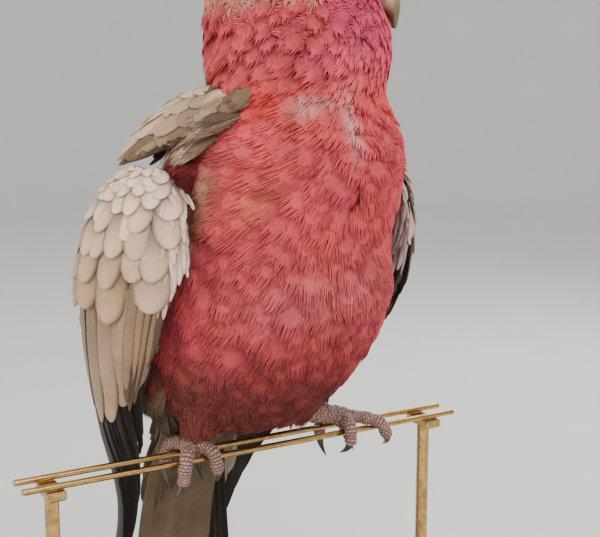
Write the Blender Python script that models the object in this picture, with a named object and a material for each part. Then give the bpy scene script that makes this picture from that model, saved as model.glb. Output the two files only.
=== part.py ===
"""A life-size galah on a cut length of double wire, held by a plain display stand.

Metres, +Z up.  The bird faces -Y, its right side is towards -X, and its head is turned to its left.
The origin is the centre of the underside of the stand's base.
"""
import math

import bmesh
import bpy
import numpy as np

# ---- stand and perch ------------------------------------------------------------------------
GAP = 0.0003                # clearance kept between neighbouring pieces
GUIDE_CLEARANCE = 0.0005    # clearance of a curved piece that lies against the body
BASE_X, BASE_Y, BASE_Z = 0.240, 0.192, 0.012
BASE_CORNER = 0.030
BASE_BEVEL = 0.002
PERCH_Z = 0.1628            # height of the two wires' centres
WIRE_RADIUS = 0.00135
WIRE_SPREAD = 0.0120        # distance between the two wires
WIRE_HALF = 0.108           # half of the cut length
ROD_X = 0.094
ROD_RADIUS = 0.003
SADDLE_X, SADDLE_Y, SADDLE_Z = 0.008, 0.018, 0.004
SADDLE_BEVEL = 0.0006

# ---- how finely the pieces are divided ------------------------------------------------------
BODY_SIDES = 28
TRUNK_LEVELS, NECK_LEVELS, HEAD_LEVELS = 18, 6, 12
TOE_SIDES, TOE_STEPS = 8, 11
WING_ALONG, WING_ACROSS = 18, 7

# ---- body: level rings from the vent to the crown -------------------------------------------
# height, shift in X, shift in Y, half width, reach in front, reach behind, turn in degrees
BODY = (
    (0.1670, 0.001, 0.020, 0.000, 0.000, 0.000, 0),
    (0.1725, 0.001, 0.017, 0.028, 0.026, 0.026, 0),
    (0.1860, 0.001, 0.011, 0.041, 0.039, 0.040, 0),
    (0.2080, 0.001, -0.002, 0.0480, 0.047, 0.046, 0),
    (0.2350, 0.001, -0.016, 0.0490, 0.050, 0.046, 0),
    (0.2650, -0.003, -0.028, 0.0445, 0.048, 0.044, 0),
    (0.2950, 0.000, -0.036, 0.0430, 0.0450, 0.040, 14),
    (0.3150, 0.002, -0.036, 0.0370, 0.0350, 0.0365, 38),
    (0.3360, 0.003, -0.035, 0.0325, 0.0370, 0.0365, 58),
    (0.3560, 0.003, -0.035, 0.0280, 0.0345, 0.0365, 60),
    (0.3720, 0.003, -0.035, 0.0235, 0.0295, 0.0330, 60),
    (0.3870, 0.003, -0.035, 0.0180, 0.0215, 0.0260, 60),
    (0.3950, 0.003, -0.035, 0.000, 0.000, 0.000, 60),
)
NECK_LOW = 0.305            # height of the cut between trunk and neck
NECK_HIGH = 0.341           # height of the cut between neck and head
HEAD_TURN = math.radians(60)
HEAD_X, HEAD_Y = 0.003, -0.035

# ---- head pieces, as (forward, height) in the head's middle plane ---------------------------
CULMEN = ((0.0200, 0.3740), (0.0362, 0.3757), (0.0434, 0.3628), (0.0386, 0.3448))
TOMIUM = ((0.0200, 0.3530), (0.0292, 0.3560), (0.0352, 0.3542), (0.0367, 0.3453))
BILL_HALF_WIDTH = 0.0082
GONYS = ((0.0200, 0.3410), (0.0275, 0.3400), (0.0332, 0.3438), (0.0330, 0.3492))
LOWER_TOP = ((0.0200, 0.3515), (0.0252, 0.3530), (0.0285, 0.3522), (0.0318, 0.3501))
LOWER_HALF_WIDTH = 0.0066
EYE_FORWARD, EYE_SIDE, EYE_HEIGHT = 0.0125, 0.0172, 0.3705
EYE_RADIUS = 0.0056

# ---- crest: a flat lobe from the forehead back over the crown, as (forward, height) ---------
CREST_LINE = ((0.0190, 0.3865), (0.0060, 0.4010), (-0.0190, 0.4030), (-0.0380, 0.3770))
CREST_HALF_WIDTH = 0.0130
CREST_HALF_DEPTH = 0.0036

# ---- wings: front and back edges from the wrist to the tip ----------------------------------
WING_RIGHT_FRONT = (
    (-0.0520, -0.0400, 0.2910), (-0.0560, -0.0460, 0.2620), (-0.0590, -0.0315, 0.2290),
    (-0.0570, -0.0050, 0.1920), (-0.0440, 0.0290, 0.1350), (-0.0410, 0.0560, 0.0700),
)
WING_RIGHT_BACK = (
    (-0.0665, -0.0150, 0.2915), (-0.0765, 0.0010, 0.2600), (-0.0720, 0.0180, 0.2200),
    (-0.0620, 0.0310, 0.1760), (-0.0480, 0.0460, 0.1250), (-0.0500, 0.0650, 0.0690),
)
WING_LEFT_FRONT = (
    (0.0480, -0.0450, 0.2900), (0.0535, -0.0430, 0.2600), (0.0545, -0.0290, 0.2310),
    (0.0540, 0.0000, 0.2000), (0.0300, 0.0560, 0.1350), (0.0180, 0.0790, 0.0660),
)
WING_LEFT_BACK = (
    (0.0520, -0.0120, 0.2960), (0.0480, 0.0180, 0.2680), (0.0370, 0.0430, 0.2250),
    (0.0260, 0.0640, 0.1800), (0.0160, 0.0800, 0.1270), (0.0100, 0.0870, 0.0650),
)
WING_CAMBER = 0.0075        # outward bulge of the wing's middle
WING_THICK = 0.0046         # thickness along the arm, at the wrist
WING_THIN = 0.0014          # thickness at the tip

# ---- shoulder feathers that overhang each wing: root line and free edge ---------------------
SHOULDER_RIGHT = ((-0.0220, -0.0340, 0.3220), (-0.0400, -0.0300, 0.3160),
                  (-0.0540, -0.0200, 0.3060), (-0.0640, -0.0080, 0.2930))
SHOULDER_LEFT = ((0.0220, -0.0300, 0.3240), (0.0380, -0.0200, 0.3180),
                 (0.0480, -0.0060, 0.3090), (0.0500, 0.0100, 0.2960))
SHOULDER_HALF_WIDTH, SHOULDER_HALF_DEPTH = 0.0172, 0.0050
SHOULDER_TAPER = 0.62       # share of the width lost towards the free end
SHOULDER_LIFT = (0.62, -0.20, 0.72)

# ---- tail: level rings from the rump to the tip ---------------------------------------------
# shift in Y, height, half width, thickness
TAIL = (
    (0.0260, 0.2160, 0.0170, 0.0220),
    (0.0450, 0.1820, 0.0215, 0.0250),
    (0.0545, 0.1500, 0.0235, 0.0180),
    (0.0625, 0.1180, 0.0245, 0.0080),
    (0.0670, 0.0750, 0.0260, 0.0030),
    (0.0700, 0.0330, 0.0265, 0.0024),
)
TAIL_ROOT_X, TAIL_TIP_X = -0.001, -0.009
TAIL_ROOF = 0.0060          # how far the tail's sides fall forward of its middle

# ---- legs -----------------------------------------------------------------------------------
THIGH_RIGHT = ((-0.0210, -0.0030, 0.1960), (-0.0285, -0.0010, 0.1755))
THIGH_LEFT = ((0.0220, -0.0060, 0.1960), (0.0210, -0.0010, 0.1755))
THIGH_TOP_RADIUS, THIGH_END_RADIUS = 0.0150, 0.0070
FOOT_RIGHT_X, FOOT_LEFT_X = -0.0312, 0.0470
FOOT_ROOT_RADIUS = 0.0040
PALM_RADIUS = 0.0052
TOE_ROOT_RADIUS, TOE_END_RADIUS = 0.0030, 0.0025
# each toe: name, front (-1) or back (1), shift towards the middle of the body, drop below the wires
TOES_RIGHT = (("inner_front", -1, 0.0078, 0.0062), ("outer_front", -1, -0.0085, 0.0088),
              ("inner_back", 1, 0.0065, 0.0075), ("outer_back", 1, -0.0080, 0.0075))
TOES_LEFT = (("inner_front", -1, 0.0025, 0.0048), ("outer_front", -1, -0.0185, 0.0048),
             ("inner_back", 1, 0.0065, 0.0070), ("outer_back", 1, -0.0080, 0.0070))
SHANK_SINK = 0.0015         # how far the shank reaches into the thigh's end
CLAW_LENGTH = 0.0075
CLAW_BEND = 0.80            # how far a claw curls back, as a share of its length

COLOURS = {
    "rose": (0.60, 0.13, 0.16, 0.85), "pale": (0.80, 0.52, 0.52, 0.85),
    "grey": (0.52, 0.46, 0.41, 0.80), "slate": (0.22, 0.19, 0.18, 0.75),
    "horn": (0.62, 0.55, 0.45, 0.45), "skin": (0.38, 0.30, 0.29, 0.70),
    "claw": (0.10, 0.08, 0.07, 0.45), "eye": (0.03, 0.015, 0.01, 0.10),
    "brass": (0.80, 0.56, 0.25, 0.28), "stand": (0.05, 0.045, 0.04, 0.50),
}
METALS = {"brass": 1.0}


def clear_scene():
    """Remove every object that is in the file."""
    for obj in list(bpy.data.objects):
        bpy.data.objects.remove(obj, do_unlink=True)


def material(name, colour):
    """A Principled material named for its piece, in one of the listed colours."""
    red, green, blue, rough = COLOURS[colour]
    mat = bpy.data.materials.new(name)
    mat.use_nodes = True
    shader = mat.node_tree.nodes["Principled BSDF"]
    shader.inputs["Base Color"].default_value = (red, green, blue, 1.0)
    shader.inputs["Roughness"].default_value = rough
    shader.inputs["Metallic"].default_value = METALS.get(colour, 0.0)
    return mat


def add_piece(name, bm, colour, smooth=True):
    """Put a bmesh into a new object with its own material, faces turned outwards."""
    bmesh.ops.recalc_face_normals(bm, faces=bm.faces)
    mesh = bpy.data.meshes.new(name)
    bm.to_mesh(mesh)
    bm.free()
    mesh.materials.append(material(name, colour))
    if smooth:
        mesh.shade_smooth()
    obj = bpy.data.objects.new(name, mesh)
    bpy.context.scene.collection.objects.link(obj)
    return obj


def cut(obj, cutter):
    """Take the cutter's shape out of a piece, and keep the cutter as a hidden guide."""
    cutter.hide_render = True
    cutter.display_type = "WIRE"
    mod = obj.modifiers.new("cut_" + cutter.name, "BOOLEAN")
    mod.operation = "DIFFERENCE"
    mod.solver = "EXACT"
    mod.object = cutter


def join(obj, others):
    """Unite a piece with the shapes that grow from it."""
    for other in others:
        other.hide_render = True
        other.display_type = "WIRE"
        mod = obj.modifiers.new("join_" + other.name, "BOOLEAN")
        mod.operation = "UNION"
        mod.solver = "EXACT"
        mod.object = other


def spline(rows, at, level_ends=()):
    """Catmull-Rom values of the rows at each place in 0..1; the named columns start and end level."""
    rows = np.asarray(rows, float)
    slopes = np.gradient(rows, axis=0)
    for column in level_ends:
        slopes[0, column] = slopes[-1, column] = 0.0
    place = np.clip(np.asarray(at, float), 0.0, 1.0) * (len(rows) - 1)
    low = np.clip(place.astype(int), 0, len(rows) - 2)
    f = (place - low)[..., None]
    return ((2 * f**3 - 3 * f**2 + 1) * rows[low] + (f**3 - 2 * f**2 + f) * slopes[low]
            + (3 * f**2 - 2 * f**3) * rows[low + 1] + (f**3 - f**2) * slopes[low + 1])


def bezier(points, at):
    """Points of one cubic Bezier curve at each place in 0..1."""
    p = np.asarray(points, float)
    t = np.asarray(at, float)[..., None]
    return (1 - t)**3 * p[0] + 3 * t * (1 - t)**2 * p[1] + 3 * t**2 * (1 - t) * p[2] + t**3 * p[3]


def unit(vectors):
    """The same vectors at length one."""
    vectors = np.asarray(vectors, float)
    return vectors / np.maximum(np.linalg.norm(vectors, axis=-1, keepdims=True), 1e-12)


def loft(rings, pole_start=False, pole_end=False):
    """A closed body through rings of points; each end is a flat cap, or a point where a pole is asked."""
    rings = np.asarray(rings, float)
    bm = bmesh.new()
    inner = rings[1 if pole_start else 0:len(rings) - (1 if pole_end else 0)]
    loops = [[bm.verts.new(p) for p in ring] for ring in inner]
    for low, high in zip(loops, loops[1:]):
        for i in range(len(low)):
            j = (i + 1) % len(low)
            bm.faces.new((low[i], low[j], high[j], high[i]))
    for pole, ring, loop in ((pole_start, rings[0], loops[0]), (pole_end, rings[-1], loops[-1])):
        if not pole:
            bm.faces.new(loop)
            continue
        tip = bm.verts.new(ring.mean(axis=0))
        for i in range(len(loop)):
            bm.faces.new((loop[i], loop[(i + 1) % len(loop)], tip))
    return bm


def body_rings(low, high, count):
    """Level rings of the body between two heights."""
    places = np.linspace(0.0, 1.0, 400)
    start, end = np.interp((low, high), spline(BODY, places, (0,))[:, 0], places)
    rows = spline(BODY, np.linspace(start, end, count), (0,))
    angle = np.linspace(0.0, 2 * np.pi, BODY_SIDES, endpoint=False)
    side = np.sin(angle)[None, :] * rows[:, 3:4]
    ahead = np.cos(angle)[None, :]
    ahead = ahead * np.where(ahead > 0, rows[:, 4:5], rows[:, 5:6])
    turn = np.radians(rows[:, 6:7])
    x = rows[:, 1:2] + side * np.cos(turn) + ahead * np.sin(turn)
    y = rows[:, 2:3] + side * np.sin(turn) - ahead * np.cos(turn)
    z = np.repeat(rows[:, 0:1], BODY_SIDES, axis=1)
    return np.stack((x, y, z), axis=-1)


def head_point(forward, side, height):
    """A point given along the head's own facing, to its left, and by height."""
    x = HEAD_X + forward * math.sin(HEAD_TURN) + side * math.cos(HEAD_TURN)
    y = HEAD_Y - forward * math.cos(HEAD_TURN) + side * math.sin(HEAD_TURN)
    return np.stack(np.broadcast_arrays(x, y, height), axis=-1)


def trunk_rings():
    """Rings of the trunk, from the vent's point to the lower cut."""
    return body_rings(BODY[0][0], NECK_LOW - GAP / 2, TRUNK_LEVELS)


def neck_rings():
    """Rings of the neck, between the two cuts."""
    return body_rings(NECK_LOW + GAP / 2, NECK_HIGH - GAP / 2, NECK_LEVELS)


def head_rings():
    """Rings of the head, from the upper cut to the crown's point."""
    return body_rings(NECK_HIGH + GAP / 2, BODY[-1][0], HEAD_LEVELS)


def body_guide(name):
    """The whole body enlarged by the clearance, as a hidden cutter for what lies against it."""
    rings = np.concatenate((trunk_rings(), neck_rings(), head_rings()))
    upward = np.gradient(rings, axis=0)
    around = np.roll(rings, -1, axis=1) - np.roll(rings, 1, axis=1)
    out = unit(np.cross(around, upward))
    out *= np.sign(((rings - rings.mean(axis=1, keepdims=True)) * out).sum(axis=-1, keepdims=True) + 1e-12)
    out[0], out[-1] = (0.0, 0.0, -1.0), (0.0, 0.0, 1.0)
    return add_piece(name, loft(rings + out * GUIDE_CLEARANCE, True, True), "rose")


def blade_rings(upper, lower, half_width, steps, sides, grow=0.0):
    """Rings between two outlines in the head's middle plane, rounded to a width that runs out at the tip."""
    t = 1.0 - (1.0 - np.linspace(0.0, 1.0, steps))**1.3
    top, bottom = bezier(upper, t), bezier(lower, t)
    middle, reach = (top + bottom) / 2, (top - bottom) / 2
    reach *= 1.0 + grow / np.maximum(np.linalg.norm(reach, axis=1, keepdims=True), 1e-6)
    width = half_width * np.sqrt(np.clip(1.0 - (0.985 * t)**2.2, 0.0, 1.0)) + grow
    angle = np.linspace(0.0, 2 * np.pi, sides, endpoint=False)
    up = middle[:, None, :] + reach[:, None, :] * np.cos(angle)[None, :, None]
    return head_point(up[..., 0], width[:, None] * np.sin(angle)[None, :], up[..., 1])


def add_body():
    """Trunk, neck and head, parted by thin level cuts; the head is returned for its pockets."""
    add_piece("trunk", loft(trunk_rings(), True, False), "rose")
    add_piece("neck", loft(neck_rings()), "rose")
    return add_piece("head", loft(head_rings(), False, True), "rose")


def add_bill(head):
    """The hooked upper mandible and the lower one, each let into the face."""
    pieces = (("bill_upper", CULMEN, TOMIUM, BILL_HALF_WIDTH),
              ("bill_lower", LOWER_TOP, GONYS, LOWER_HALF_WIDTH))
    for name, top, bottom, width in pieces:
        add_piece(name, loft(blade_rings(top, bottom, width, 14, 14), False, True), "horn")
        pocket = blade_rings(top, bottom, width, 14, 14, GAP)
        pocket[0] -= (pocket[1] - pocket[0]).mean(axis=0) * 0.3
        cut(head, add_piece("pocket_" + name, loft(pocket, False, True), "horn"))


def ball(name, centre, radius, colour, rows=8, sides=14):
    """A ball made of turned rings."""
    angle = np.linspace(0.0, 2 * np.pi, sides, endpoint=False)
    lift = np.linspace(0.0, np.pi, rows + 1)[:, None]
    rings = np.stack((np.sin(lift) * np.cos(angle), np.sin(lift) * np.sin(angle),
                      -np.cos(lift) * np.ones_like(angle)), axis=-1) * radius + np.asarray(centre)
    return add_piece(name, loft(rings, True, True), colour)


def add_eyes(head):
    """Two eyeballs sunk into sockets in the sides of the head."""
    for name, side in (("eye_right", -EYE_SIDE), ("eye_left", EYE_SIDE)):
        centre = head_point(EYE_FORWARD, side, EYE_HEIGHT)
        ball(name, centre, EYE_RADIUS, "eye")
        cut(head, ball("socket_" + name, centre, EYE_RADIUS + GAP, "eye"))


def add_crest(guide):
    """The crest laid back over the crown, clear of the head."""
    t = np.linspace(0.0, 1.0, 14)
    line = bezier(CREST_LINE, t)
    ahead = unit(np.gradient(line, axis=0))
    lift = np.stack((-ahead[:, 1], ahead[:, 0]), axis=-1) * -1.0
    swell = np.sqrt(np.clip(1.0 - np.abs(2 * t - 0.9)**2.6 * 0.97, 0.004, 1.0))[:, None]
    angle = np.linspace(0.0, 2 * np.pi, 12, endpoint=False)
    depth = CREST_HALF_DEPTH * swell * np.cos(angle)
    side = CREST_HALF_WIDTH * swell * np.sin(angle)
    sag = side**2 / 0.030
    plane = line[:, None, :] + lift[:, None, :] * (depth - sag)[..., None]
    crest = add_piece("crest", loft(head_point(plane[..., 0], side, plane[..., 1])), "pale")
    cut(crest, guide)


def wing_rings(front_rows, back_rows):
    """Rings round a wing: a cambered vane between its two edges, thinning towards the tip."""
    along = np.linspace(0.0, 1.0, WING_ALONG)
    front, back = spline(front_rows, along), spline(back_rows, along)
    pinch = np.sqrt(np.clip(1.0 - (1.0 - np.minimum(along / 0.10, 1.0))**2, 0.06, 1.0))[:, None]
    middle = (front + back) / 2
    reach = (back - front) / 2 * pinch
    heading = unit(np.gradient(middle, axis=0))
    out = unit(np.cross(heading, reach))
    out *= np.sign(out[:, :1] * middle[:, :1])
    across = np.linspace(-1.0, 1.0, WING_ACROSS + 1)
    thick = (WING_THICK + (WING_THIN - WING_THICK) * along**0.7)[:, None]
    edge = thick * np.sqrt(np.clip(1.0 - 0.9 * across**4, 0.1, 1.0)) / 2
    fade = (np.linalg.norm(reach, axis=1) / np.linalg.norm(reach, axis=1).max())[:, None]
    bulge = WING_CAMBER * fade * (1.0 - across**2)
    outer = middle[:, None] + reach[:, None] * across[:, None] + out[:, None] * (bulge + edge)[..., None]
    inner = middle[:, None] + reach[:, None] * across[:, None] + out[:, None] * (bulge - edge)[..., None]
    return np.concatenate((outer, inner[:, ::-1]), axis=1)


def add_wings(guide):
    """The right wing droops and stands off the body; the left lies folded against it."""
    for name, front, back in (("wing_right", WING_RIGHT_FRONT, WING_RIGHT_BACK),
                              ("wing_left", WING_LEFT_FRONT, WING_LEFT_BACK)):
        cut(add_piece(name, loft(wing_rings(front, back)), "grey"), guide)


def lobe_rings(points, half_width, half_depth, facing, steps=12, sides=12):
    """Rings of a flat pointed lobe that follows a curve, its flat side turned towards facing."""
    t = np.linspace(0.0, 1.0, steps)
    line = bezier(points, t)
    heading = unit(np.gradient(line, axis=0))
    lift = np.asarray(facing, float) - heading * (heading @ np.asarray(facing, float))[:, None]
    lift = unit(lift)
    across = np.cross(heading, lift)
    swell = np.sqrt(np.clip(1.0 - np.abs(2 * t - 1.0)**2.4 * 0.97, 0.0, 1.0))
    swell = (swell * (1.0 - SHOULDER_TAPER * t**1.5))[:, None, None]
    angle = np.linspace(0.0, 2 * np.pi, sides, endpoint=False)[None, :, None]
    side = half_width * swell * np.sin(angle)
    rise = half_depth * swell * np.cos(angle) - side**2 / 0.10
    return line[:, None] + across[:, None] * side + lift[:, None] * rise


def add_shoulders(guide):
    """The long grey shoulder feathers that overhang the top of each wing."""
    for name, points, side in (("shoulder_right", SHOULDER_RIGHT, -1.0),
                               ("shoulder_left", SHOULDER_LEFT, 1.0)):
        rings = lobe_rings(points, SHOULDER_HALF_WIDTH, SHOULDER_HALF_DEPTH,
                           (side * SHOULDER_LIFT[0],) + SHOULDER_LIFT[1:])
        cut(add_piece(name, loft(rings), "grey"), guide)


def add_tail(guide):
    """The tail: a thick feathered root that flattens into a slightly roofed fan with rounded corners."""
    t = np.linspace(0.0, 1.0, 16)
    rows = spline(TAIL, t)
    corner = np.sqrt(np.clip(1.0 - np.clip((t - 0.93) / 0.08, 0.0, 1.0)**2, 0.3, 1.0))
    angle = np.linspace(0.0, 2 * np.pi, 20, endpoint=False)
    side = (rows[:, 2] * corner)[:, None] * np.sin(angle)
    roof = TAIL_ROOF * t[:, None] * np.sin(angle)**2
    depth = rows[:, 3:] / 2 * np.sign(np.cos(angle)) * np.abs(np.cos(angle))**0.7
    middle = (TAIL_ROOT_X + (TAIL_TIP_X - TAIL_ROOT_X) * t)[:, None]
    height = np.repeat(rows[:, 1:2], len(angle), axis=1)
    rings = np.stack((middle + side, rows[:, :1] - roof + depth, height), axis=-1)
    cut(add_piece("tail", loft(rings), "grey"), guide)


def tube_rings(points, radii, sides):
    """Round rings along a path, each turned with the path."""
    points, radii = np.asarray(points, float), np.asarray(radii, float)
    heading = unit(np.gradient(points, axis=0))
    guide = np.array((1.0, 0.0, 0.0)) if abs(heading[:, 0]).max() < 0.9 else np.array((0.0, 1.0, 0.0))
    first = unit(np.cross(heading, guide))
    second = np.cross(heading, first)
    angle = np.linspace(0.0, 2 * np.pi, sides, endpoint=False)[None, :, None]
    ring = first[:, None] * np.cos(angle) + second[:, None] * np.sin(angle)
    return points[:, None] + ring * radii[:, None, None]


def toe_path(foot_x, reach, splay, drop):
    """A toe's line: out from the foot's middle over a wire, then down beside it."""
    rise = PERCH_Z + WIRE_RADIUS + GAP + TOE_ROOT_RADIUS
    sign = math.copysign(1.0, reach)
    over = WIRE_SPREAD / 2
    clear = WIRE_RADIUS + GAP + TOE_ROOT_RADIUS
    rows = (
        (foot_x - splay * 0.12, -sign * 0.0022, rise + 0.0010),
        (foot_x + splay * 0.40, sign * over * 0.80, rise + 0.0006),
        (foot_x + splay * 0.75, sign * (over + clear * 0.80), PERCH_Z + clear * 0.72),
        (foot_x + splay * 0.92, sign * (over + clear * 1.08), PERCH_Z - clear * 0.35),
        (foot_x + splay, sign * (over + clear * 0.90), PERCH_Z - drop),
    )
    return spline(rows, np.linspace(0.0, 1.0, TOE_STEPS))


def add_claw(name, path, bend):
    """A claw that carries on from a toe's end and curves back under the wires."""
    ahead = unit(path[-1] - path[-2])
    inward = np.array((0.0, bend, 0.0))
    t = np.linspace(0.0, 1.0, 7)[:, None]
    start = path[-1] + ahead * (TOE_END_RADIUS * 0.35 + GAP)
    line = start + ahead * CLAW_LENGTH * t + inward * CLAW_LENGTH * CLAW_BEND * t**2
    radii = TOE_END_RADIUS * 0.72 * (1.0 - 0.88 * t[:, 0])
    return add_piece(name, loft(tube_rings(line, radii, 8)), "claw")


def shank_rings(foot_x, thigh, grow=0.0):
    """Rings of the shank, from inside the thigh's end down to the foot, made wider by grow."""
    end = np.array((foot_x, 0.0004, PERCH_Z + WIRE_RADIUS + GAP + TOE_ROOT_RADIUS + 0.0013))
    top = np.asarray(thigh[1]) - unit(end - np.asarray(thigh[1])) * (SHANK_SINK + grow)
    line = top + (end - top) * np.linspace(0.0, 1.0, 5)[:, None]
    return tube_rings(line, np.linspace(THIGH_END_RADIUS * 0.72, FOOT_ROOT_RADIUS, 5) + grow, TOE_SIDES)


def add_foot(side, foot_x, thigh, toes, guide):
    """The shank and four toes of one foot, two in front and two behind, with their claws."""
    foot = add_piece("foot_" + side, loft(shank_rings(foot_x, thigh)), "skin")
    mirror = 1.0 if side == "right" else -1.0
    palm = (foot_x, 0.0, PERCH_Z + WIRE_RADIUS + GAP + TOE_ROOT_RADIUS + 0.0004)
    shapes = [ball("palm_" + side, palm, PALM_RADIUS, "skin")]
    for name, reach, splay, drop in toes:
        path = toe_path(foot_x, reach, splay * mirror, drop)
        radii = np.linspace(TOE_ROOT_RADIUS, TOE_END_RADIUS, TOE_STEPS)
        shapes.append(add_piece("toe_%s_%s" % (side, name), loft(tube_rings(path, radii, TOE_SIDES)),
                                "skin"))
        add_claw("claw_%s_%s" % (side, name), path, -reach)
    join(foot, shapes)
    cut(foot, guide)


def add_thigh(side, foot_x, thigh, guide):
    """The feathered thigh below the belly."""
    top, end = (np.asarray(p) for p in thigh)
    t = np.linspace(0.0, 1.0, 6)
    line = top + (end - top) * t[:, None]
    radii = THIGH_TOP_RADIUS + (THIGH_END_RADIUS - THIGH_TOP_RADIUS) * t**1.4
    piece = add_piece("thigh_" + side, loft(tube_rings(line, radii, 16)), "rose")
    cut(piece, guide)
    cut(piece, add_piece("room_" + side, loft(shank_rings(foot_x, thigh, GAP)), "rose"))


def add_legs(guide):
    """Both legs: the right foot under the body, the left one set well out along the wires."""
    for side, foot_x, thigh, toes in (("right", FOOT_RIGHT_X, THIGH_RIGHT, TOES_RIGHT),
                                      ("left", FOOT_LEFT_X, THIGH_LEFT, TOES_LEFT)):
        add_thigh(side, foot_x, thigh, guide)
        add_foot(side, foot_x, thigh, toes, guide)


def box(name, centre, size, colour, bevel):
    """A block with softened edges."""
    bm = bmesh.new()
    bmesh.ops.create_cube(bm, size=1.0)
    bmesh.ops.scale(bm, vec=size, verts=bm.verts)
    bmesh.ops.bevel(bm, geom=bm.edges[:], offset=bevel, segments=1, affect="EDGES")
    bmesh.ops.translate(bm, vec=centre, verts=bm.verts)
    return add_piece(name, bm, colour, smooth=False)


def add_perch():
    """Two parallel wires, cut to a short length."""
    for name, y in (("perch_wire_front", -WIRE_SPREAD / 2), ("perch_wire_back", WIRE_SPREAD / 2)):
        ends = np.array(((-WIRE_HALF, y, PERCH_Z), (WIRE_HALF, y, PERCH_Z)))
        add_piece(name, loft(tube_rings(ends, (WIRE_RADIUS, WIRE_RADIUS), 14)), "brass")


def rounded_outline(half_x, half_y, corner, steps=6):
    """The corner points of a rectangle with rounded corners."""
    quarter = np.linspace(0.0, math.pi / 2, steps)
    points = []
    for turn, (sx, sy) in enumerate(((1, 1), (-1, 1), (-1, -1), (1, -1))):
        angle = quarter + turn * math.pi / 2
        x = sx * (half_x - corner) + corner * np.cos(angle)
        y = sy * (half_y - corner) + corner * np.sin(angle)
        points.append(np.stack((x, y), axis=-1))
    return np.concatenate(points)


def add_stand():
    """A flat base, and two rods whose saddles carry the wires."""
    levels = ((0.0, 0.0), (BASE_Z - BASE_BEVEL, 0.0), (BASE_Z, BASE_BEVEL))
    rings = []
    for z, inset in levels:
        outline = rounded_outline(BASE_X / 2 - inset, BASE_Y / 2 - inset, BASE_CORNER - inset)
        rings.append(np.column_stack((outline, np.full(len(outline), z))))
    add_piece("stand_base", loft(rings), "stand", smooth=False)
    saddle_top = PERCH_Z - WIRE_RADIUS - GAP
    for side, x in (("right", -ROD_X), ("left", ROD_X)):
        saddle = box("saddle_" + side, (x, 0.0, saddle_top - SADDLE_Z / 2),
                     (SADDLE_X, SADDLE_Y, SADDLE_Z), "brass", SADDLE_BEVEL)
        ends = np.array(((x, 0.0, BASE_Z + GAP), (x, 0.0, saddle_top - SADDLE_Z / 2)))
        rod = add_piece("stand_rod_" + side, loft(tube_rings(ends, (ROD_RADIUS, ROD_RADIUS), 16)), "brass")
        join(rod, [saddle])


def main():
    """Build the bird, its perch and its stand."""
    clear_scene()
    head = add_body()
    guide = body_guide("guide_body")
    add_bill(head)
    add_eyes(head)
    add_crest(guide)
    add_wings(guide)
    add_shoulders(guide)
    add_tail(guide)
    add_legs(guide)
    add_perch()
    add_stand()


main()
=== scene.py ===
"""Looks of a life-size galah on a cut length of double wire: skin, feathers, bill, eyes, feet and stand.

Metres, +Z up.  The bird faces -Y, its right side is towards -X, and its head is turned to its left.
Each surface is a function of two parameters; feathers are small closed shapes laid along those surfaces.
"""
import math

import bpy
import numpy as np
from bpy.props import FloatProperty, FloatVectorProperty, IntProperty, PointerProperty
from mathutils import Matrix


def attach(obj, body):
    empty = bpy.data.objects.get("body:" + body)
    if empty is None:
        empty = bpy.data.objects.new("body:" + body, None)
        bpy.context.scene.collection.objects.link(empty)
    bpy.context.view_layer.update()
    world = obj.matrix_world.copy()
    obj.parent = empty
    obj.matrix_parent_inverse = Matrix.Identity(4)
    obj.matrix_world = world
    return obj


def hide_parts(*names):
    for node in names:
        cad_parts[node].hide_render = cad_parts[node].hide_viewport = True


bl_info = {
    "name": "Galah looks",
    "version": (1, 0, 0),
    "blender": (4, 5, 0),
    "location": "View3D > Sidebar > Galah",
    "description": "Skin, feathers, bill, eyes, feet, perch and stand of a life-size galah",
    "category": "Object",
}

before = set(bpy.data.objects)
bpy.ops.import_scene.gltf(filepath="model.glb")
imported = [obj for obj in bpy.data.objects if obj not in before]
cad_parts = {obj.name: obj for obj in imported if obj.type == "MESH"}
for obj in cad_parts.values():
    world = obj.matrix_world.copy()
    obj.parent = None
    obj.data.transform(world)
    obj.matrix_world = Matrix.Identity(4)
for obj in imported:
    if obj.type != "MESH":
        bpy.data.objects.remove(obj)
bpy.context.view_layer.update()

# ---- the body's level rings, as the solids have them
# height, shift in X, shift in Y, half width, reach in front, reach behind, turn in degrees
BODY = (
    (0.1670, 0.001, 0.020, 0.000, 0.000, 0.000, 0),
    (0.1725, 0.001, 0.017, 0.028, 0.026, 0.026, 0),
    (0.1860, 0.001, 0.011, 0.041, 0.039, 0.040, 0),
    (0.2080, 0.001, -0.002, 0.0480, 0.047, 0.046, 0),
    (0.2350, 0.001, -0.016, 0.0490, 0.050, 0.046, 0),
    (0.2650, -0.003, -0.028, 0.0445, 0.048, 0.044, 0),
    (0.2950, 0.000, -0.036, 0.0430, 0.0450, 0.040, 14),
    (0.3150, 0.002, -0.036, 0.0370, 0.0350, 0.0365, 38),
    (0.3360, 0.003, -0.035, 0.0325, 0.0370, 0.0365, 58),
    (0.3560, 0.003, -0.035, 0.0280, 0.0345, 0.0365, 60),
    (0.3720, 0.003, -0.035, 0.0235, 0.0295, 0.0330, 60),
    (0.3870, 0.003, -0.035, 0.0180, 0.0215, 0.0260, 60),
    (0.3950, 0.003, -0.035, 0.000, 0.000, 0.000, 60),
)
HEAD_TURN = math.radians(60)
HEAD_X, HEAD_Y = 0.003, -0.035

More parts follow.
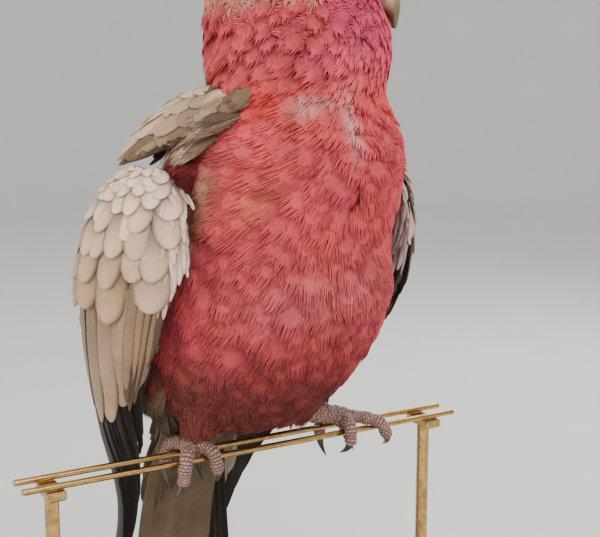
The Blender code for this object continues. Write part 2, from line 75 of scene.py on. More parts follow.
# ---- head pieces, as (forward, height) in the head's middle plane
CULMEN = ((0.0200, 0.3740), (0.0362, 0.3757), (0.0434, 0.3628), (0.0386, 0.3448))
TOMIUM = ((0.0200, 0.3530), (0.0292, 0.3560), (0.0352, 0.3542), (0.0367, 0.3453))
BILL_HALF_WIDTH = 0.0082
GONYS = ((0.0200, 0.3410), (0.0275, 0.3400), (0.0332, 0.3438), (0.0330, 0.3492))
LOWER_TOP = ((0.0200, 0.3515), (0.0252, 0.3530), (0.0285, 0.3522), (0.0318, 0.3501))
LOWER_HALF_WIDTH = 0.0066
EYE_FORWARD, EYE_SIDE, EYE_HEIGHT = 0.0125, 0.0172, 0.3705
EYE_RADIUS = 0.0056
LID_RADIUS, LID_WIDTH = 0.0078, 0.0042
EYE_CLEAR = 0.0072          # no feather of the face comes nearer to the middle of an eye
# the bare place round the bill: half width, how far ahead it starts, lowest and highest
BARE_SIDE, BARE_FORWARD, BARE_LOW, BARE_HIGH = 0.0092, 0.018, 0.3425, 0.3775
CREST_LINE = ((0.0190, 0.3865), (0.0060, 0.4010), (-0.0190, 0.4030), (-0.0380, 0.3770))
CREST_HALF_WIDTH, CREST_HALF_DEPTH = 0.0130, 0.0036

# ---- wings: front and back edges from the wrist to the tip
WING_RIGHT_FRONT = (
    (-0.0520, -0.0400, 0.2910), (-0.0560, -0.0460, 0.2620), (-0.0590, -0.0315, 0.2290),
    (-0.0570, -0.0050, 0.1920), (-0.0440, 0.0290, 0.1350), (-0.0410, 0.0560, 0.0700),
)
WING_RIGHT_BACK = (
    (-0.0665, -0.0150, 0.2915), (-0.0765, 0.0010, 0.2600), (-0.0720, 0.0180, 0.2200),
    (-0.0620, 0.0310, 0.1760), (-0.0480, 0.0460, 0.1250), (-0.0500, 0.0650, 0.0690),
)
WING_LEFT_FRONT = (
    (0.0480, -0.0450, 0.2900), (0.0535, -0.0430, 0.2600), (0.0545, -0.0290, 0.2310),
    (0.0540, 0.0000, 0.2000), (0.0300, 0.0560, 0.1350), (0.0180, 0.0790, 0.0660),
)
WING_LEFT_BACK = (
    (0.0520, -0.0120, 0.2960), (0.0480, 0.0180, 0.2680), (0.0370, 0.0430, 0.2250),
    (0.0260, 0.0640, 0.1800), (0.0160, 0.0800, 0.1270), (0.0100, 0.0870, 0.0650),
)
WING_CAMBER = 0.0075
WING_THICK, WING_THIN = 0.0046, 0.0014

# ---- shoulder lobes, tail, legs and perch
SHOULDER_RIGHT = ((-0.0220, -0.0340, 0.3220), (-0.0400, -0.0300, 0.3160),
                  (-0.0540, -0.0200, 0.3060), (-0.0640, -0.0080, 0.2930))
SHOULDER_LEFT = ((0.0220, -0.0300, 0.3240), (0.0380, -0.0200, 0.3180),
                 (0.0480, -0.0060, 0.3090), (0.0500, 0.0100, 0.2960))
SHOULDER_HALF_WIDTH, SHOULDER_HALF_DEPTH = 0.0172, 0.0050
SHOULDER_TAPER = 0.62
SHOULDER_LIFT = (0.62, -0.20, 0.72)
# shift in Y, height, half width, thickness
TAIL = (
    (0.0260, 0.2160, 0.0170, 0.0220),
    (0.0450, 0.1820, 0.0215, 0.0250),
    (0.0545, 0.1500, 0.0235, 0.0180),
    (0.0625, 0.1180, 0.0245, 0.0080),
    (0.0670, 0.0750, 0.0260, 0.0030),
    (0.0700, 0.0330, 0.0265, 0.0024),
)
TAIL_ROOT_X, TAIL_TIP_X = -0.001, -0.009
TAIL_ROOF = 0.0060
THIGHS = {
    "right": ((-0.0210, -0.0030, 0.1960), (-0.0285, -0.0010, 0.1755)),
    "left": ((0.0220, -0.0060, 0.1960), (0.0210, -0.0010, 0.1755)),
}
THIGH_TOP_RADIUS, THIGH_END_RADIUS = 0.0150, 0.0070
FOOT_X = {"right": -0.0312, "left": 0.0470}
# each toe: name, front (-1) or back (1), shift towards the middle of the body, drop below the wires
TOES = {
    "right": (("inner_front", -1, 0.0078, 0.0062), ("outer_front", -1, -0.0085, 0.0088),
              ("inner_back", 1, 0.0065, 0.0075), ("outer_back", 1, -0.0080, 0.0075)),
    "left": (("inner_front", -1, 0.0025, 0.0048), ("outer_front", -1, -0.0185, 0.0048),
             ("inner_back", 1, 0.0065, 0.0070), ("outer_back", 1, -0.0080, 0.0070)),
}
PALM_RADIUS, PALM_REACH = 0.0052, 0.0045
TOE_ROOT_RADIUS, TOE_END_RADIUS = 0.0030, 0.0025
CLAW_LENGTH, CLAW_BEND = 0.0075, 0.80
GAP = 0.0003
PERCH_Z = 0.1628
WIRE_RADIUS, WIRE_SPREAD, WIRE_HALF = 0.00135, 0.0120, 0.108

# ---- how the coat is laid
SKIN_DEPTH = 0.0030         # how far the skin lies inside the feathered outline
FACE_DEPTH = 0.0014         # the same on the face
SKIN_VOXEL = 0.0015         # size of the cells in which the skin's parts are joined into one
PATCH = 0.003               # side of one feather's patch, as a share of its bake map


# ======== curves and surfaces

def smooth(low, high, value):
    """0 below low, 1 above high, and a curve with level ends between."""
    t = np.clip((np.asarray(value, float) - low) / (high - low), 0.0, 1.0)
    return t * t * (3.0 - 2.0 * t)


def near(value, centre, spread):
    """1 at the centre, falling off as a bell of the given spread."""
    return np.exp(-((np.asarray(value, float) - centre) / spread)**2)


def spline(rows, at, level_ends=()):
    """Catmull-Rom values of the rows at each place in 0..1; the named columns start and end level."""
    rows = np.asarray(rows, float)
    slopes = np.gradient(rows, axis=0)
    for column in level_ends:
        slopes[0, column] = slopes[-1, column] = 0.0
    place = np.clip(np.asarray(at, float), 0.0, 1.0) * (len(rows) - 1)
    low = np.clip(place.astype(int), 0, len(rows) - 2)
    f = (place - low)[..., None]
    return ((2 * f**3 - 3 * f**2 + 1) * rows[low] + (f**3 - 2 * f**2 + f) * slopes[low]
            + (3 * f**2 - 2 * f**3) * rows[low + 1] + (f**3 - f**2) * slopes[low + 1])


def bezier(points, at):
    """Points of one cubic Bezier curve at each place."""
    p = np.asarray(points, float)
    t = np.asarray(at, float)[..., None]
    return (1 - t)**3 * p[0] + 3 * t * (1 - t)**2 * p[1] + 3 * t**2 * (1 - t) * p[2] + t**3 * p[3]


def unit(vectors):
    """The same vectors at length one."""
    vectors = np.asarray(vectors, float)
    return vectors / np.maximum(np.linalg.norm(vectors, axis=-1, keepdims=True), 1e-12)


def paired(first, second):
    """Two parameters as arrays of one shape."""
    return np.broadcast_arrays(np.asarray(first, float), np.asarray(second, float))


def round_about(heading, guide, angle):
    """Unit vectors square to a heading, at each angle about it from a first one square to the guide."""
    first = unit(np.cross(heading, guide))
    return first * np.cos(angle)[..., None] + np.cross(heading, first) * np.sin(angle)[..., None]


def head_point(forward, side, height):
    """A point given along the head's own facing, to its left, and by height."""
    x = HEAD_X + forward * math.sin(HEAD_TURN) + side * math.cos(HEAD_TURN)
    y = HEAD_Y - forward * math.cos(HEAD_TURN) + side * math.sin(HEAD_TURN)
    return np.stack(np.broadcast_arrays(x, y, height), axis=-1)


PLACES = np.linspace(0.0, 1.0, 900)
OUTLINE = spline(BODY, PLACES, (0,))
BODY_RUN = np.concatenate(([0.0], np.cumsum(np.hypot(
    np.diff(OUTLINE[:, 0]), np.diff(OUTLINE[:, 3:6].mean(axis=1))))))


def body_surface(around, along):
    """The body's outline: around is an angle from the ring's front, along runs from crown to vent.

    Each level ring is two half ellipses, shifted and turned by its row; along is the share of the
    profile's own length, so equal steps are equal distances."""
    share = (1.0 - np.clip(along, 0.0, 1.0)) * BODY_RUN[-1]
    rows = spline(BODY, np.interp(share, BODY_RUN, PLACES), (0,))
    side = np.sin(around) * rows[..., 3]
    ahead = np.cos(around)
    ahead = ahead * np.where(ahead > 0, rows[..., 4], rows[..., 5])
    turn = np.radians(rows[..., 6])
    x = rows[..., 1] + side * np.cos(turn) + ahead * np.sin(turn)
    y = rows[..., 2] + side * np.sin(turn) - ahead * np.cos(turn)
    return np.stack((x, y, rows[..., 0]), axis=-1)


def ring_place(points, least=1e-4):
    """Points against the body's ring at their height: shares of its half width and reach, and its turn."""
    rows = [np.interp(points[..., 2], OUTLINE[:, 0], OUTLINE[:, i]) for i in range(1, 7)]
    turn = np.radians(rows[5])
    x, y = points[..., 0] - rows[0], points[..., 1] - rows[1]
    side = (x * np.cos(turn) + y * np.sin(turn)) / np.maximum(rows[2], least)
    ahead = x * np.sin(turn) - y * np.cos(turn)
    return side, ahead / np.maximum(np.where(ahead > 0, rows[3], rows[4]), least), turn


def along_at(height):
    """The body surface's second parameter at a height."""
    return 1.0 - np.interp(height, OUTLINE[:, 0], BODY_RUN) / BODY_RUN[-1]


def body_angles(points):
    """For points on or near the body: angle on the turned ring, and angle from the bird's own front."""
    side, ahead, turn = ring_place(points)
    ring = np.arctan2(side, ahead)
    return ring, (ring + turn + np.pi) % (2 * np.pi) - np.pi


HEAD_CENTRE = head_point(0.0, 0.0, 0.3620)
HEAD_CELLS = 260


def head_table():
    """Where rays from the head's centre leave the body, by polar angle from the bill and turn about it."""
    polar = np.linspace(0.0, np.pi, HEAD_CELLS)[:, None]
    turn = np.linspace(-np.pi, np.pi, HEAD_CELLS)[None, :]
    flat = np.sin(polar)
    ray = head_point(np.cos(polar), flat * np.sin(turn), 0.0) - head_point(0.0, 0.0, 0.0)
    ray[..., 2] = flat * np.cos(turn)
    near_end, far_end = np.zeros(ray.shape[:2]), np.full(ray.shape[:2], 0.12)
    for _ in range(26):
        middle = (near_end + far_end) / 2
        at = HEAD_CENTRE + ray * middle[..., None]
        side, ahead, _ = ring_place(at, 1e-5)
        inside = (side**2 + ahead**2 < 1.0) & (at[..., 2] < OUTLINE[-1, 0])
        near_end, far_end = np.where(inside, middle, near_end), np.where(inside, far_end, middle)
    return HEAD_CENTRE + ray * ((near_end + far_end) / 2)[..., None]


HEAD_TABLE = head_table()


def head_surface(around, along):
    """The head's outline by turn about the bill's axis (0 up) and share of the way from bill to nape.

    The values are read between the cells of a table of where rays from the head's centre leave it."""
    row = np.clip(along, 0.0, 1.0) * (HEAD_CELLS - 1)
    column = ((around + np.pi) % (2 * np.pi)) / (2 * np.pi) * (HEAD_CELLS - 1)
    i, j = np.minimum(row.astype(int), HEAD_CELLS - 2), np.minimum(column.astype(int), HEAD_CELLS - 2)
    f, g = (row - i)[..., None], (column - j)[..., None]
    return ((1 - f) * ((1 - g) * HEAD_TABLE[i, j] + g * HEAD_TABLE[i, j + 1])
            + f * ((1 - g) * HEAD_TABLE[i + 1, j] + g * HEAD_TABLE[i + 1, j + 1]))


def wing_surface(front_rows, back_rows, inner=False):
    """A wing's outer face (or inner one): across from -1 at its front edge to 1, along from wrist to tip.

    A point is the way between the two edge curves, pushed out by a camber that is greatest midway and
    by half of a thickness that runs out towards the tip."""
    side = np.sign(front_rows[0][0])
    widest = np.linalg.norm(spline(back_rows, np.linspace(0, 1, 60))
                            - spline(front_rows, np.linspace(0, 1, 60)), axis=1).max() / 2

    def middle_at(along):
        return (spline(front_rows, along) + spline(back_rows, along)) / 2

    def surface(across, along):
        across, along = paired(across, np.clip(along, 0.0, 1.0))
        pinch = np.sqrt(np.clip(1.0 - (1.0 - np.minimum(along / 0.10, 1.0))**2, 0.06, 1.0))[..., None]
        middle = middle_at(along)
        reach = (spline(back_rows, along) - spline(front_rows, along)) / 2 * pinch
        step = 0.01
        heading = middle_at(np.minimum(along + step, 1.0)) - middle_at(np.maximum(along - step, 0.0))
        out = unit(np.cross(heading, reach))
        out = out * np.sign(out[..., :1] * side)
        thick = WING_THICK + (WING_THIN - WING_THICK) * along**0.7
        edge = thick * np.sqrt(np.clip(1.0 - 0.9 * across**4, 0.1, 1.0)) / 2
        bulge = WING_CAMBER * np.linalg.norm(reach, axis=-1) / widest * np.maximum(1.0 - across**2, -0.2)
        rise = bulge + (-edge if inner else edge)
        return middle + reach * across[..., None] + out * rise[..., None]

    return surface


def lobe_surface(points, half_width, half_depth, facing, under=False):
    """The upper (or lower) face of a flat lobe along a curve: across from -1 to 1, along from its root."""
    facing = np.asarray(facing, float)

    def surface(across, along):
        across, along = paired(across, along)
        step = 0.01
        line = bezier(points, along)
        heading = unit(bezier(points, along + step) - bezier(points, along - step))
        lift = unit(facing - heading * (heading @ facing)[..., None])
        sideways = np.cross(heading, lift)
        inside = np.clip(np.abs(2 * along - 1.0), 0.0, 1.0)
        swell = np.sqrt(np.clip(1.0 - inside**2.4 * 0.97, 0.0, 1.0))
        swell = swell * (1.0 - SHOULDER_TAPER * np.clip(along, 0.0, 1.0)**1.5)
        side = half_width * swell * across
        dome = half_depth * swell * np.sqrt(np.clip(1.0 - across**2, 0.0, 1.0))
        rise = (-dome if under else dome) - side**2 / 0.10
        return line + sideways * side[..., None] + lift * rise[..., None]

    return surface


def crest_surface(across, along):
    """The crest's upper face: across from -1 to 1, along from forehead to nape."""
    across, along = paired(across, along)
    line = bezier(CREST_LINE, along)
    ahead = unit(bezier(CREST_LINE, along + 0.01) - bezier(CREST_LINE, along - 0.01))
    lift = np.stack((ahead[..., 1], -ahead[..., 0]), axis=-1)
    swell = np.sqrt(np.clip(1.0 - np.clip(np.abs(2 * along - 0.9), 0.0, 1.0)**2.6 * 0.97, 0.004, 1.0))
    side = CREST_HALF_WIDTH * swell * across
    rise = CREST_HALF_DEPTH * swell * np.sqrt(np.clip(1.0 - across**2, 0.0, 1.0)) - side**2 / 0.030
    plane = line + lift * rise[..., None]
    return head_point(plane[..., 0], side, plane[..., 1])


def tail_surface(face):
    """The tail's face to the back (1), to the belly (-1) or midway (0).

    Across runs from -1 to 1, along from rump to tip."""
    def surface(across, along):
        across, along = paired(across, np.clip(along, 0.0, 1.0))
        rows = spline(TAIL, along)
        edge = np.clip(1.0 - across**2, 0.0, 1.0)
        depth = rows[..., 3] / 2 * edge**0.35 * face
        x = TAIL_ROOT_X + (TAIL_TIP_X - TAIL_ROOT_X) * along + rows[..., 2] * across
        y = rows[..., 0] - TAIL_ROOF * along * across**2 + depth
        return np.stack((x, y, rows[..., 1]), axis=-1)

    return surface


def limb_surface(start, end, guide, radius):
    """A limb's outline: around its axis, along from start to end, its radius a function of along."""
    start, end = np.asarray(start), np.asarray(end)

    def surface(around, along):
        around, along = paired(around, along)
        ring = round_about(unit(end - start), guide, around)
        return start + (end - start) * along[..., None] + ring * radius(along)[..., None]

    return surface


def thigh_surface(side):
    """A thigh's outline, slimmer towards the shank."""
    return limb_surface(*THIGHS[side], (1.0, 0.0, 0.0), lambda along: THIGH_TOP_RADIUS + (
        THIGH_END_RADIUS - THIGH_TOP_RADIUS) * np.clip(along, 0.0, 1.2)**1.4)


def tube_rings(points, radii, sides):
    """Round rings along a path, each turned with the path."""
    points, radii = np.asarray(points, float), np.asarray(radii, float)
    heading = unit(np.gradient(points, axis=0))
    guide = np.array((1.0, 0.0, 0.0)) if abs(heading[:, 0]).max() < 0.9 else np.array((0.0, 1.0, 0.0))
    ring = round_about(heading[:, None], guide, np.linspace(0.0, 2 * np.pi, sides, endpoint=False)[None])
    radii = radii if radii.ndim == 2 else radii[:, None]
    return points[:, None] + ring * radii[..., None]


# ======== meshes

def closed_faces(rings, sides):
    """Triangles of a closed body: its rings in turn, then a pole at each end."""
    ring = np.arange(rings - 1)[:, None] * sides
    i = np.arange(sides)[None, :]
    j = (i + 1) % sides
    low = np.stack((ring + i, ring + j, ring + sides + j), axis=-1).reshape(-1, 3)
    high = np.stack((ring + i, ring + sides + j, ring + sides + i), axis=-1).reshape(-1, 3)
    first, top = rings * sides, (rings - 1) * sides
    start = np.column_stack((np.full(sides, first), j[0], i[0]))
    end = np.column_stack((np.full(sides, first + 1), top + i[0], top + j[0]))
    return np.concatenate((low, high, start, end))


def closed_points(rings):
    """The rings' points in turn, then the middle of the first and of the last ring."""
    rings = np.asarray(rings, float)
    return np.concatenate((rings.reshape(-1, 3), rings[:1].mean(axis=1), rings[-1:].mean(axis=1)))


def facing_out(points, faces):
    """The same triangles, turned over if they enclose a negative volume."""
    a, b, c = (points[faces[:, k]] for k in range(3))
    volume = np.einsum("ij,ij->", a - points.mean(axis=0), np.cross(b - a, c - a))
    return faces[:, ::-1] if volume < 0 else faces


def closed_body(rings):
    """Points and outward triangles of a closed body through rings."""
    points = closed_points(rings)
    return points, facing_out(points, closed_faces(rings.shape[0], rings.shape[1]))


def joined(parts):
    """Several bodies' arrays as one: points and faces, and any further arrays kept per point."""
    starts = np.cumsum([0] + [len(part[0]) for part in parts[:-1]])
    faces = np.concatenate([part[1] + start for part, start in zip(parts, starts)])
    columns = [np.concatenate([part[k] for part in parts]) for k in range(len(parts[0])) if k != 1]
    return [columns[0], faces] + columns[1:]


def add_mesh(name, points, faces, mat, replaced=(), colours=None, maps=None):
    """Put triangle arrays into a new object that rides on the bird, with its maps and colours."""
    mesh = bpy.data.meshes.new(name)
    mesh.vertices.add(len(points))
    mesh.vertices.foreach_set("co", np.ascontiguousarray(points, np.float32).ravel())
    mesh.loops.add(faces.size)
    mesh.loops.foreach_set("vertex_index", np.ascontiguousarray(faces, np.int32).ravel())
    mesh.polygons.add(len(faces))
    mesh.polygons.foreach_set("loop_start", np.arange(0, faces.size, 3, dtype=np.int32))
    mesh.update(calc_edges=True)
    for map_name, places in (maps or {}).items():
        layer = mesh.uv_layers.new(name=map_name)
        layer.data.foreach_set("uv", places[faces.ravel()].astype(np.float32).ravel())
    return show(name, mesh, mat, replaced, colours)


def show(name, mesh, mat, replaced=(), colours=None):
    """Paint a mesh, put it into the scene, and say what it rides on, its finish and what it stands for."""
    mesh.shade_smooth()
    if colours is not None:
        layer = mesh.color_attributes.new(name="plumage", type="FLOAT_COLOR", domain="POINT")
        rgba = np.column_stack((colours, np.ones(len(colours)))).astype(np.float32)
        layer.data.foreach_set("color", rgba.ravel())
    mesh.materials.append(mat)
    obj = bpy.data.objects.new(name, mesh)
    bpy.context.scene.collection.objects.link(obj)
    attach(obj, "root")
    if replaced:
        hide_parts(*replaced)
    return obj


# ======== feather shapes
# A shape is (across, along, rise) for each point, its triangles, a shade and a lane for each point.
# Across runs from -1 to 1, along from 0 at the root to 1, rise is a height as a share of the half width,
# shade scales the colour, and lane is the value that stays the same along one barb.

def plume(barbs, seed, clumps=3, cup=0.20, body=0.64, gather=0.30, ragged=0.12, slim=0.46, pointed=1.5,
          levels=6, columns=5):
    """A soft feather: one smooth vane, and past its end fine free barbs that gather in clumps.

    The vane's half width swells from the root and narrows, as one less a power of the share, to the
    share body of the length.  Each barb starts low on the vane and just above it, follows its own ray,
    leans towards its clump's middle and thins to a point; barbs at the sides are shorter, so that the
    tip is a rounded V."""
    rng = np.random.default_rng(seed)
    share = 0.5 - 0.5 * np.cos(np.linspace(0.10, 0.965, levels) * np.pi)
    half = (0.42 + 0.58 * smooth(0.0, 0.5, share)) * (1 - np.clip((share - 0.45) / 0.56, 0, 1)**pointed)**0.75
    t = np.linspace(-1.0, 1.0, columns)
    across = half[:, None] * t
    along = np.broadcast_to((share * body)[:, None], across.shape)
    thick = 0.030 * np.sqrt(1 - 0.9 * t**2)
    top = np.stack((across, along, thick - cup * across**2), axis=-1)
    low = np.stack((across, along, -thick - cup * across**2), axis=-1)[:, -2:0:-1]
    points = closed_points(np.concatenate((top, low), axis=1))
    points[-2], points[-1] = (0.0, 0.0, 0.0), (0.0, body, 0.0)
    lane = np.concatenate((t, t[-2:0:-1]))[None] * np.ones((levels, 1))
    # The vane darkens towards its end: painted shade, to match the shaded gaps among the free barbs.
    tone = np.append(np.repeat(np.linspace(1.0, 0.76, levels), lane.shape[1]), (1.0, 0.76))
    parts = [(points, facing_out(points, closed_faces(levels, lane.shape[1])), tone,
              np.append(lane.ravel(), (0.0, 0.0)))]
    place = np.linspace(-1.0, 1.0, barbs)
    reach = 1.0 - 0.34 * np.abs(place)**1.5 + rng.uniform(-ragged, ragged * 0.6, barbs)
    group = (np.round((place + 1) / 2 * clumps - 0.5) + 0.5) / clumps * 2 - 1
    lean = (np.clip(group, -1, 1) - place) * gather + rng.normal(0.0, 0.03, barbs)
    start = body * (0.62 - 0.36 * np.abs(place)**1.5)
    shade = rng.uniform(0.88, 1.20, barbs)
    for k in range(barbs):
        level = start[k] + (reach[k] - start[k]) * np.array((0.25, 0.68, 1.0))
        drift = smooth(0.0, 1.0, (level - start[k]) / (reach[k] - start[k]))
        middle = place[k] * (0.42 + 0.58 * smooth(0.0, 0.6, level / body)) + lean[k] * drift
        wide = slim * 2.0 / barbs * np.array((1.0, 0.75))[:, None] * np.array((-1.0, 0.0, 1.0))
        edges = middle[:2, None] + wide
        rise = -cup * edges**2 + np.array((0.0, 0.032, 0.0)) + rng.uniform(0.0, 0.035)
        ring = np.stack((edges, np.broadcast_to(level[:2, None], edges.shape), rise), axis=-1).reshape(-1, 3)
        base = (place[k] * 0.8, start[k], -cup * place[k]**2 * 0.64)
        points = np.concatenate((ring, (base, (middle[2], level[2], -cup * middle[2]**2))))
        parts.append((points, facing_out(points, closed_faces(2, 3)), np.full(8, shade[k]),
                      np.full(8, place[k])))
    return joined(parts)


def leaf(steps, columns, root=0.30, widest=0.62, bluntness=2.6, cup=0.22, shaft=0.05, thick=0.045,
         notches=(), skew=0.0, seed=0, slant=4.0, rim=0.10):
    """A firm vane: a closed flat body whose half width swells from the root and rounds off at the tip.

    Half width is a level-ended rise up to the widest place, and past it the root of one less a power.
    The shaft is a low ridge, each notch takes a narrow wedge out of one edge, and lanes slant from the
    shaft towards the tip as barbs do."""
    level = 0.5 - 0.5 * np.cos(np.linspace(0.05, 0.985, steps) * np.pi)
    past = np.clip((level - widest) / (1 - widest), 0.0, 1.0)
    half = (root + (1 - root) * smooth(0.0, widest, level)) * np.sqrt(1 - past**bluntness)
    t = np.linspace(-1.0, 1.0, columns)
    width = np.broadcast_to(half[:, None], (steps, columns)).copy()
    for side, where, deep in notches:
        width *= 1 - deep * near(level, where, 0.025)[:, None] * (np.sign(t) == side)
    across = width * t + skew * level[:, None]**2
    cupping = -cup * across**2
    ridge = shaft * near(t, 0.0, 0.16) * (1 - 0.7 * level[:, None])
    body = thick * np.sqrt(1 - 0.96 * t**2) * (0.35 + 0.65 * half[:, None])
    along = np.broadcast_to(level[:, None], across.shape)
    top = np.stack((across, along, cupping + ridge + body), axis=-1)
    low = np.stack((across, along, cupping - body), axis=-1)
    rings = np.concatenate((top, low[:, -2:0:-1]), axis=1)
    points = closed_points(rings)
    points[-2] = (0.0, 0.0, 0.0)
    points[-1] = (skew, 1.0, -cup * skew**2)
    rng = np.random.default_rng(seed)
    spot = np.concatenate((t, t[-2:0:-1]))[None, :] * np.ones((steps, 1))
    # Towards the tip the edges darken by rim: partly a darker edge of the vane, partly painted shade where
    # the vanes overlap.
    dark_rim_and_shade = rim * np.abs(spot)**3 * smooth(0.3, 0.8, level)[:, None]
    tone = 1.0 + 0.03 * rng.normal(size=steps)[:, None] - dark_rim_and_shade
    lane = np.abs(spot) - slant * level[:, None]
    return (points, facing_out(points, closed_faces(steps, rings.shape[1])),
            np.concatenate((tone.ravel(), (0.9, 1.0))), np.concatenate((lane.ravel(), (0.0, -slant))))


# ======== laying feathers

def changes(surface, at, step=1e-3):
    """How far a surface's point moves over two steps of its first and of its second parameter."""
    around, along = at[..., 0], at[..., 1]
    return (surface(around + step, along) - surface(around - step, along),
            surface(around, along + step) - surface(around, along - step))


def frames(surface, at, travel):
    """Point, side and outward normal of a surface at each place; the side is square to the travel."""
    point = surface(at[..., 0], at[..., 1])
    across, along = changes(surface, at)
    normal = unit(np.cross(along, across))
    heading = unit(across * travel[..., 0:1] + along * travel[..., 1:2])
    heading = unit(heading - normal * (heading * normal).sum(axis=-1, keepdims=True))
    return point, np.cross(heading, normal), normal


def pace(surface, seat, length, swing):
    """How far each feather travels in the surface's own parameters, for a length and a swing to one side."""
    step = 1e-3
    across, along = (np.linalg.norm(change, axis=-1) / (2 * step) for change in changes(surface, seat, step))
    return np.column_stack((length * np.sin(swing) / np.maximum(across, 1e-3),
                            length * np.cos(swing) / np.maximum(along, 1e-3)))


def drape(surface, shapes, seat, travel, half_width, colour, home, rng, sink=-0.0025, stand=0.0006,
          puff=0.0, roll=0.0, outward=1.0, fade=0.25, span=1.0, painted=None, bend=1.7):
    """Feathers laid along a surface, as points, triangles, colours and two maps.

    A point at share a of a feather's length lies on the surface at seat + travel * a, moved sideways by
    its own across, and outwards by a height that rises from sink at the root to stand at the tip and
    bulges by puff midway.  The colour is darker by fade at the root.  Each feather takes one of the
    shapes at random.  Colours are one for each feather, or factors on what painted gives for a point.
    Home is the middle of each feather's patch on the bake map, or what gives it for the seats."""
    half_width, sink, stand, puff, roll = (
        np.broadcast_to(np.asarray(v, float), (len(seat),)) for v in (half_width, sink, stand, puff, roll))
    home = home(*seat.T) if callable(home) else home
    choice = rng.integers(0, len(shapes), len(seat))
    shift = rng.integers(0, 50, len(seat))
    parts = []
    for k, (points, faces, tone, lane) in enumerate(shapes):
        mine = np.flatnonzero(choice == k)
        if not len(mine):
            continue
        a = points[:, 1]
        at = seat[mine][:, None, :] + travel[mine][:, None, :] * a[None, :, None]
        point, side, normal = frames(surface, at, np.broadcast_to(travel[mine][:, None], at.shape))
        normal, side = normal * outward, side * outward
        width = half_width[mine][:, None]
        turn = roll[mine][:, None, None]
        lift = (sink[mine][:, None] + (stand - sink)[mine][:, None] * (1 - np.clip(1 - a, 0, 1)**bend)
                + puff[mine][:, None] * np.sin(np.pi * np.clip(a, 0, 1))**0.8)
        offset = width * points[:, 0]
        place = (point + side * (offset[..., None] * np.cos(turn))
                 + normal * ((lift + width * points[:, 2])[..., None] + offset[..., None] * np.sin(turn)))
        flat = np.arange(len(mine))[:, None, None] * len(points) + faces[None]
        # fade darkens each feather towards its root: partly its own darker base, partly painted shade beneath
        # the tips that overlap it.
        light = tone[None, :, None] * (1 - fade * (1 - smooth(0.10, 0.95, a)))[None, :, None]
        hue = colour[mine][:, None, :] * light * (1.0 if painted is None else painted(place))
        vane = np.stack(np.broadcast_arrays(lane / 2 + shift[mine][:, None], a), axis=-1)
        bake = home[mine][:, None] + PATCH * span * np.stack((points[:, 0] / 2, a - 0.5), axis=-1)[None]
        parts.append((place.reshape(-1, 3), flat.reshape(-1, 3), np.clip(hue, 0.0, 1.0).reshape(-1, 3),
                      vane.reshape(-1, 2), bake.reshape(-1, 2)))
    return joined(parts)


def add_coat(name, batches, mat, replaced=()):
    """One coat piece out of several drapes."""
    points, faces, colours, vane, bake = joined(batches)
    return add_mesh(name, points, faces, mat, replaced, colours,
                    {"OFBake": np.clip(bake, 0.001, 0.999), "vane": vane})


def sow(surface, first, last, pitch, across_pitch, rng, low=-np.pi, high=np.pi, jitter=0.30):
    """Staggered rows of seats on a surface, from one along value to another, pitches in metres."""
    fine = np.linspace(first, last, 200)
    middle = (low + high) / 2
    run = np.concatenate(([0.0], np.cumsum(np.linalg.norm(
        np.diff(surface(np.full(200, middle), fine), axis=0), axis=1))))
    rows = max(int(round(run[-1] / pitch)), 1)
    levels = np.interp((np.arange(rows) + 0.5) / rows * run[-1], run, fine)
    seats = []
    for k, level in enumerate(levels):
        ring = surface(np.linspace(low, high, 120), np.full(120, level))
        girth = np.linalg.norm(np.diff(ring, axis=0), axis=1).sum()
        count = max(int(round(girth / across_pitch)), 1)
        spots = (np.arange(count) + 0.25 + 0.5 * (k % 2) + rng.uniform(-jitter, jitter, count)) / count
        level = level + rng.uniform(-jitter, jitter, count) * (last - first) / rows
        seats.append(np.column_stack((low + (high - low) * spots, level)))
    return np.concatenate(seats)


# ======== settings

def colour_property(name, description, value):
    """A linear colour that a user may change."""
    return FloatVectorProperty(name=name, description=description, default=value, subtype="COLOR",
                               size=3, min=0.0, max=1.0)


def length_property(name, description, metres):
    """A length in metres that a user may change."""
    return FloatProperty(name=name, description=description, default=metres, min=0.0002, unit="LENGTH",
                         precision=4)


